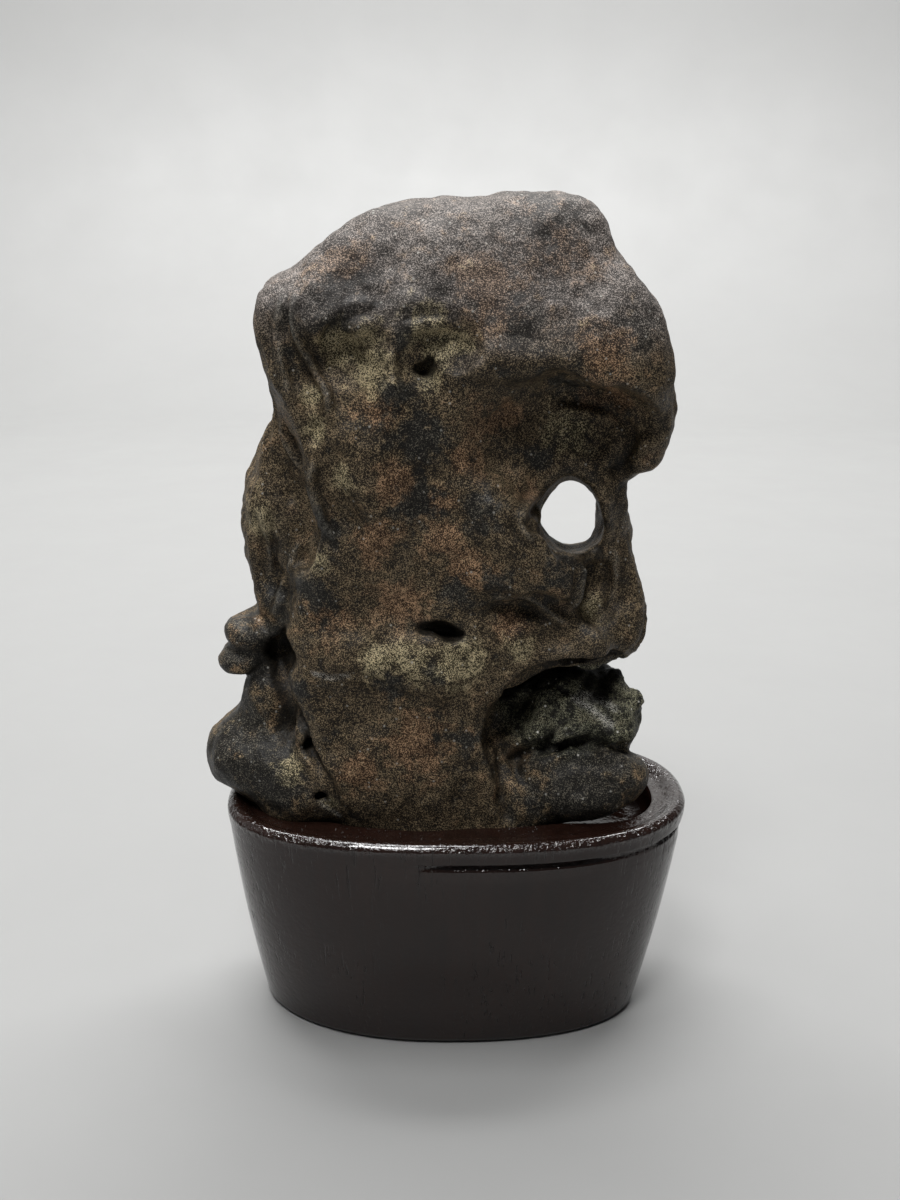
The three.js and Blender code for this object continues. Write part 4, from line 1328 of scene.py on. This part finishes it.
    def layers(self, lattice: Lattice, points: Array, normals: Array) -> dict[str, Array]:
        """Values that the finish reads: how hollow or proud each point is, its lines and its patches.

        Hollow is how much nearer the stone is than it would be over a flat, at steps along the normal;
        the finish darkens by it as painted shade. Crest is the same, taken inwards. Cut, which marks the
        creases and the dips beside the crest lines, is darkened as painted shade, and cap leans towards
        surfaces that face up, as painted top light.

        Args:
            lattice: Distances to the stone.
            points: Places on the surface.
            normals: Directions out of it.

        Returns:
            Values from 0 to 1 by layer name.
        """
        out = [np.clip(1.0 - lattice.at(points + normals * d) / d, 0, 1) for d in self.HOLLOW_STEPS]
        into = [np.clip(1.0 + lattice.at(points - normals * d) / d, 0, 1) for d in self.CREST_STEPS]
        layers = {
            "hollow": np.clip(1.5 * np.mean(out, axis=0), 0, 1),
            "crest": np.clip(3.0 * np.mean(into, axis=0), 0, 1),
            "crust": self.crust(*points.T),
            # leans towards surfaces that face up: painted top light on the cap's own tone
            "cap": ease(points[:, 2] + self.top_light_lean * normals[:, 2], *self.CAP_Z),
        }
        for key, threads in (("thread", self.CRESTS), ("cut", self.CREASES), ("pale", self.PALE)):
            layers[key] = np.max([thread.near(points, 0.0, 1.8) for thread in threads], axis=0)
        # dips beside the crest lines are darkened with the creases: painted shade
        beside = np.max([thread.near(points, 2.0, 1.0) for thread in self.CRESTS], axis=0)
        layers["cut"] = np.maximum(layers["cut"], 0.75 * beside)
        for tone, patches in self.PATCHES.items():
            rows = np.array(patches)
            gaps = np.linalg.norm(points[:, None, :] - rows[None, :, :3], axis=2) / rows[None, :, 3]
            layers[tone.value] = np.exp(-gaps**2).max(axis=1)
        return layers

    def crust(self, x: Array, y: Array, z: Array) -> Array:
        """Share of rough crust: round the recess under the overhang, not on the smooth knuckle.

        Args:
            x, y, z: Places, of shapes that broadcast.

        Returns:
            Shares from 0 to 1.
        """
        middle, radii = self.CRUST_MIDDLE, self.CRUST_RADII
        near = np.sqrt(sum(((a - m) / r) ** 2 for a, m, r in zip((x, y, z), middle, radii)))
        knuckle = self.KNUCKLE.distance(x, y, z)
        under = self.crust_top + self.crust_rise * np.minimum(x, middle[0]) - z
        return (1.0 - ease(near, 0.85, 1.15)) * ease(knuckle, 0.5, 4.0) * ease(under, 0.0, 5.0)

    def build(self, lattice: Lattice) -> bpy.types.Object:
        """Surface of the lattice, settled once more and weathered along its normals.

        Args:
            lattice: Distances to the stone.

        Returns:
            The stone's piece.
        """
        points, quads = lattice.surface()
        normals = lattice.normals(points)
        points = points - normals * lattice.at(points)[:, None]
        layers = self.layers(lattice, points, normals)
        shift = self.weather(points, layers["crust"]) * ease(points[:, 2], *self.FOOT_Z)
        return make_object("rock_surface", points + normals * shift[:, None], [quads], layers)

    def dress(self, piece: bpy.types.Object) -> None:
        """Weathered stone in place of the plain solid.

        Args:
            piece: The stone's piece.
        """
        piece.data.materials.append(WeatheredStone().material())
        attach(piece, "root")
        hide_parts("rock")


@dataclass
class Stand:
    """The stand: a rounded oblong carried up a profile, with a rolled rim, a ledge and a socket."""

    sides: int = 384
    bottom_half: Span = (72.5, 37.5)
    rim_half: Span = (85.5, 46.0)
    rim_x: float = 2.5
    bottom_square: Span = (2.0, 2.5)
    rim_square: Span = (2.7, 2.4)
    bottom_edge: float = 3.0
    bead_z: float = 80.6
    bead_step: float = 2.6
    rim_z: float = 88.0
    rim_round: float = 2.6
    ledge_z: float = 85.0
    ledge_inset: float = 11.6
    socket_gap: float = 0.9
    socket_z: float = 73.2
    hollow_centre: Span = (53.0, 0.0)
    hollow_half: Span = (24.5, 23.5)
    wall_rings: tuple[int, int] = (34, 44)
    coarse_to_z: float = 72.0
    close_from_z: float = 72.4
    belly: float = 0.9
    belly_z: float = 76.0
    full_z: float = 84.0
    flare: float = 0.97
    ray_steps: int = 240
    ledge_rings: int = 25
    lip_drop: float = 0.5
    ROLLED_Z: ClassVar[Span] = (83.5, 86.0)
    CUT_Z: ClassVar[tuple[float, ...]] = (-7.0, -2.7, -1.1, -0.4, 0.3)
    CUT_DEPTH: ClassVar[tuple[float, ...]] = (0.0, 0.22, 1.0, 1.0, 0.0)
    WALL_IN: ClassVar[tuple[float, ...]] = (0.4, 0.5, 0.55, 0.6)
    WALL_DROP: ClassVar[tuple[float, ...]] = (0.9, 2.0, 6.0)

    def plan(self, angle: Array, level: Array, inset: Array) -> tuple[Array, Array]:
        """Rounded oblong: cosine and sine raised to two over the squareness, times the half sizes.

        Args:
            angle: Directions round the stand.
            level: Share of the way from the bottom's plan to the rim's.
            inset: Distance in from that plan.

        Returns:
            x and y of each place.
        """
        c, s = np.cos(angle), np.sin(angle)
        left = self.bottom_square[0] + (self.rim_square[0] - self.bottom_square[0]) * level
        right = self.bottom_square[1] + (self.rim_square[1] - self.bottom_square[1]) * level
        power = 2.0 / (left + (right - left) * (1.0 + c) / 2.0)
        half = [b + (r - b) * level for b, r in zip(self.bottom_half, self.rim_half)]
        x = self.rim_x * level + (half[0] - inset) * np.sign(c) * np.abs(c) ** power
        return x, (half[1] - inset) * np.sign(s) * np.abs(s) ** power

    def crease(self, angle: Array) -> Array:
        """Depth of the cut under the rim: deep on the front's right half and round the right end.

        Args:
            angle: Directions round the stand.

        Returns:
            One depth to each direction.
        """
        x, y = self.plan(angle, np.ones_like(angle), np.zeros_like(angle))
        front = ease(x, -16.0, 4.0) * (1.0 - 0.65 * ease(x, 46.0, 60.0))
        end = ease(x, 68.0, 84.0)
        return self.bead_step * np.maximum(np.where(y < 0.0, front, 0.5 * front), end)

    def side(self) -> tuple[Array, Array, Array, Array]:
        """Profile from the bottom's middle to the ledge.

        Returns:
            Height, share of the way to the rim's plan, inset, and how much the crease counts.
        """
        turn = np.linspace(0.0, np.pi / 2, 7)
        edge = self.bottom_edge
        foot_z, foot_in = edge * (1.0 - np.cos(turn)) * 0.8, edge * (1.0 - np.sin(turn))
        roll_from = self.rim_z - self.rim_round
        coarse = np.linspace(edge, self.coarse_to_z, self.wall_rings[0])
        close = np.linspace(self.close_from_z, roll_from, self.wall_rings[1])
        wall_z = np.concatenate([coarse, close])
        wall_in = -self.belly * np.sin(np.pi * np.clip((wall_z - edge) / self.belly_z, 0.0, 1.0))
        roll = np.linspace(0.0, np.pi / 2, 17)
        length = 0.25 + np.exp(-(((roll - 0.92) / 0.22) ** 2))
        rise = np.cumsum(length * np.cos(roll))
        run = np.cumsum(length * np.sin(roll))
        roll_z = self.rim_z - self.rim_round * (1.0 - rise / rise[-1])
        roll_in = self.rim_round * run / run[-1]
        dip = np.linspace(0.0, 1.0, 22)[1:]
        ledge_z = self.rim_z - (self.rim_z - self.ledge_z) * ease(dip, 0.05, 0.75)
        ledge_in = self.rim_round + (self.ledge_inset - self.rim_round) * dip
        z = np.concatenate([foot_z, wall_z, roll_z, ledge_z])
        inset = np.concatenate([foot_in, wall_in, roll_in, ledge_in])
        on_top = np.arange(len(z)) >= len(foot_z) + len(wall_z)
        level = np.where(on_top, 1.0, np.clip((z / self.full_z) ** self.flare, 0.0, 1.0))
        cut = np.interp(z, self.bead_z + np.array(self.CUT_Z), np.array(self.CUT_DEPTH))
        cut = np.where(on_top, 0.0, cut)
        return z, level, inset, cut

    def socket(self, lattice: Lattice, angle: Array) -> tuple[Array, Array]:
        """Edge of the socket: the stone's foot seen from above with a gap, or the pocket by the knuckle.

        Args:
            lattice: Distances to the stone.
            angle: Directions round the stand.

        Returns:
            x and y of the furthest place along each direction that the foot or the pocket reaches.
        """
        inset = np.full_like(angle, self.ledge_inset + 0.5)
        rim = np.stack(self.plan(angle, np.ones_like(angle), inset), axis=1)
        middle = np.array([self.rim_x, 0.0])
        share = np.linspace(0.0, 1.0, self.ray_steps)
        rays = middle + (rim - middle)[:, None, :] * share[None, :, None]
        flat = rays.reshape(-1, 2)
        heights = np.linspace(self.socket_z + 1.5, self.ledge_z - 0.3, 6)
        layers = [np.column_stack([flat, np.full(len(flat), z)]) for z in heights]
        near = np.min([lattice.at(layer) for layer in layers], axis=0)
        pocket = np.hypot(*((flat - np.array(self.hollow_centre)) / np.array(self.hollow_half)).T)
        inside = ((near < self.socket_gap) | (pocket < 1.0)).reshape(len(angle), -1)
        furthest = share[inside.shape[1] - 1 - np.argmax(inside[:, ::-1], axis=1)]
        spread = np.exp(-0.5 * (np.arange(-8, 9) / 3.0) ** 2)
        wrapped = np.concatenate([furthest[-8:], furthest, furthest[:8]])
        furthest = np.convolve(wrapped, spread / spread.sum(), mode="valid")
        edge = middle + (rim - middle) * furthest[:, None]
        return edge[:, 0], edge[:, 1]

    def build(self, lattice: Lattice) -> bpy.types.Object:
        """Rings of the profile, then the ledge to the socket's edge, its wall and its floor.

        Args:
            lattice: Distances to the stone, which the socket follows.

        Returns:
            The stand's piece.
        """
        angle = np.linspace(0.0, 2.0 * np.pi, self.sides, endpoint=False)
        z, level, inset, cut = (part[:, None] for part in self.side())
        depth = inset + cut * self.crease(angle)[None, :]
        x, y = self.plan(np.broadcast_to(angle, depth.shape), np.broadcast_to(level, depth.shape), depth)
        rings = np.stack([x, y, np.broadcast_to(z, x.shape)], axis=2)
        edge = np.stack([*self.socket(lattice, angle), np.full_like(angle, self.ledge_z)], axis=1)
        share = np.linspace(0.0, 1.0, self.ledge_rings + 1)[1:, None, None]
        ledge = rings[-1][None] * (1.0 - share) + edge[None] * share
        ledge[..., 2] -= self.lip_drop * ease(share[..., 0], 0.9, 1.0)
        drop = np.array([*self.WALL_DROP, self.ledge_z - self.socket_z])
        middle = np.array([self.rim_x, 0.0])
        inward = edge[:, :2] - middle
        inward = inward / np.linalg.norm(inward, axis=1, keepdims=True)
        wall = np.repeat(edge[None], len(drop), axis=0)
        wall[..., :2] -= inward[None] * np.array(self.WALL_IN)[:, None, None]
        wall[..., 2] = self.ledge_z - drop[:, None]
        floor_share = np.linspace(0.0, 1.0, 8)[1:-1, None, None]
        floor = wall[-1][None] * (1.0 - floor_share) + np.array([*middle, self.socket_z]) * floor_share
        grid = np.concatenate([rings, ledge, wall, floor])
        rolled = np.concatenate([
            ease(z, *self.ROLLED_Z) + cut * self.crease(angle)[None, :] / self.bead_step,
            np.zeros((len(ledge) + len(wall) + len(floor), self.sides)),
        ])
        return self._skin(grid, rolled)

    def _skin(self, grid: Array, rolled: Array) -> bpy.types.Object:
        """Quads between rings, closed by a fan at the bottom's and at the socket's middle.

        Args:
            grid: Places, ring by ring.
            rolled: How much each place belongs to the rolled rim or to the cut under it.

        Returns:
            The closed piece.
        """
        rows, sides = grid.shape[:2]
        here = np.arange(rows * sides).reshape(rows, sides)
        after = np.roll(here, -1, axis=1)
        quads = np.stack([here[:-1], after[:-1], after[1:], here[1:]], axis=2).reshape(-1, 4)
        middles = [[0.0, 0.0, 0.0], [self.rim_x, 0.0, self.socket_z]]
        points = np.concatenate([grid.reshape(-1, 3), middles])
        bottom, top = rows * sides, rows * sides + 1
        low = np.stack([np.full(sides, bottom), after[0], here[0]], axis=1)
        high = np.stack([np.full(sides, top), here[-1], after[-1]], axis=1)
        layer = np.concatenate([np.clip(rolled, 0.0, 1.0).ravel(), [0.0, 0.0]])
        return make_object("stand_body", points, [quads, low, high], {"rolled": layer})

    def dress(self, piece: bpy.types.Object) -> None:
        """Black lacquer in place of the plain solid.

        Args:
            piece: The stand's piece.
        """
        piece.data.materials.append(BlackLacquer().material())
        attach(piece, "root")
        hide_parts("stand")


class LightRole(Enum):
    """Lights of the studio, each as place, target, width, depth and power."""

    OVERHEAD = ((-0.18, -0.05, 1.40), (0.0, 0.02, 0.10), 0.42, 0.42, 9.0)
    KEY = ((-0.22, -0.60, 1.35), (0.0, 0.0, 0.16), 0.36, 0.28, 11.2)
    LEFT = ((-1.20, 0.10, 0.80), (0.0, 0.0, 0.18), 0.70, 0.70, 0.6)
    BACKDROP = ((0.0, 0.75, 2.00), (0.0, 1.75, 0.60), 2.40, 0.50, 116.0)


@dataclass(frozen=True)
class Studio:
    """Pale floor, soft light and the camera at the photograph's angle."""

    floor_half: float = 4.0
    sweep_y: float = 1.2
    sweep_round: float = 0.6
    lens: float = 36.0
    sensor: float = 36.0
    pitch: float = 19.0
    eye: Point = (0.0, -0.40634, 0.30190)
    sky: Colour = (0.92, 0.95, 1.0)
    sky_strength: float = 0.07

    def floor(self) -> None:
        """One wide pale sheet that runs back and sweeps up behind the stone."""
        turn = np.linspace(0.0, np.pi / 2, 33)
        run = np.concatenate([[-self.floor_half], self.sweep_y + self.sweep_round * np.sin(turn)])
        rise = np.concatenate([[0.0], self.sweep_round * (1.0 - np.cos(turn))])
        run, rise = np.append(run, run[-1]), np.append(rise, self.floor_half)
        across = np.array([-self.floor_half, self.floor_half])
        rows = len(run)
        points = np.stack([np.repeat(across, rows), np.tile(run, 2), np.tile(rise, 2)], axis=1) / MM
        start = np.arange(rows - 1)
        faces = np.stack([start, start + rows, start + rows + 1, start + 1], axis=1)
        sheet = make_object("floor", points, [faces], {})
        sheet.data.materials.append(PaleFloor().material())

    def lights(self) -> None:
        """Soft boxes and an even sky."""
        for role in LightRole:
            place, target, width, depth, power = role.value
            lamp = bpy.data.lights.new(role.name.lower(), "AREA")
            lamp.shape = "RECTANGLE"
            lamp.size = width
            lamp.size_y = depth
            lamp.energy = power
            holder = bpy.data.objects.new(role.name.lower(), lamp)
            holder.location = place
            holder.rotation_euler = (Vector(target) - Vector(place)).to_track_quat("-Z", "Y").to_euler()
            bpy.context.scene.collection.objects.link(holder)
        world = bpy.data.worlds.new("soft_sky")
        world.use_nodes = True
        backdrop = world.node_tree.nodes["Background"]
        backdrop.inputs["Color"].default_value = (*self.sky, 1.0)
        backdrop.inputs["Strength"].default_value = self.sky_strength
        bpy.context.scene.world = world

    def camera(self) -> None:
        """Camera a little above the stone's middle, looking down."""
        optics = bpy.data.cameras.new("view")
        optics.sensor_fit = "VERTICAL"
        optics.sensor_height = self.sensor
        optics.sensor_width = self.sensor
        optics.lens = self.lens
        optics.clip_start = 0.01
        holder = bpy.data.objects.new("view", optics)
        holder.location = self.eye
        holder.rotation_euler = (math.radians(90.0 - self.pitch), 0.0, 0.0)
        bpy.context.scene.collection.objects.link(holder)
        bpy.context.scene.camera = holder
        bpy.context.scene.view_settings.view_transform = "Standard"


def main() -> None:
    """Builds the stone, then the stand round its foot, then the studio."""
    logging.basicConfig(level=logging.INFO, format="%(message)s")
    stone = Stone()
    lattice = stone.lattice()
    rock = stone.build(lattice)
    stone.dress(rock)
    log.info("%s: %d faces", rock.name, len(rock.data.polygons))
    stand = Stand()
    base = stand.build(lattice)
    stand.dress(base)
    log.info("%s: %d faces", base.name, len(base.data.polygons))
    studio = Studio()
    studio.floor()
    studio.lights()
    studio.camera()
    bpy.context.view_layer.update()


if __name__ == "__main__":
    main()
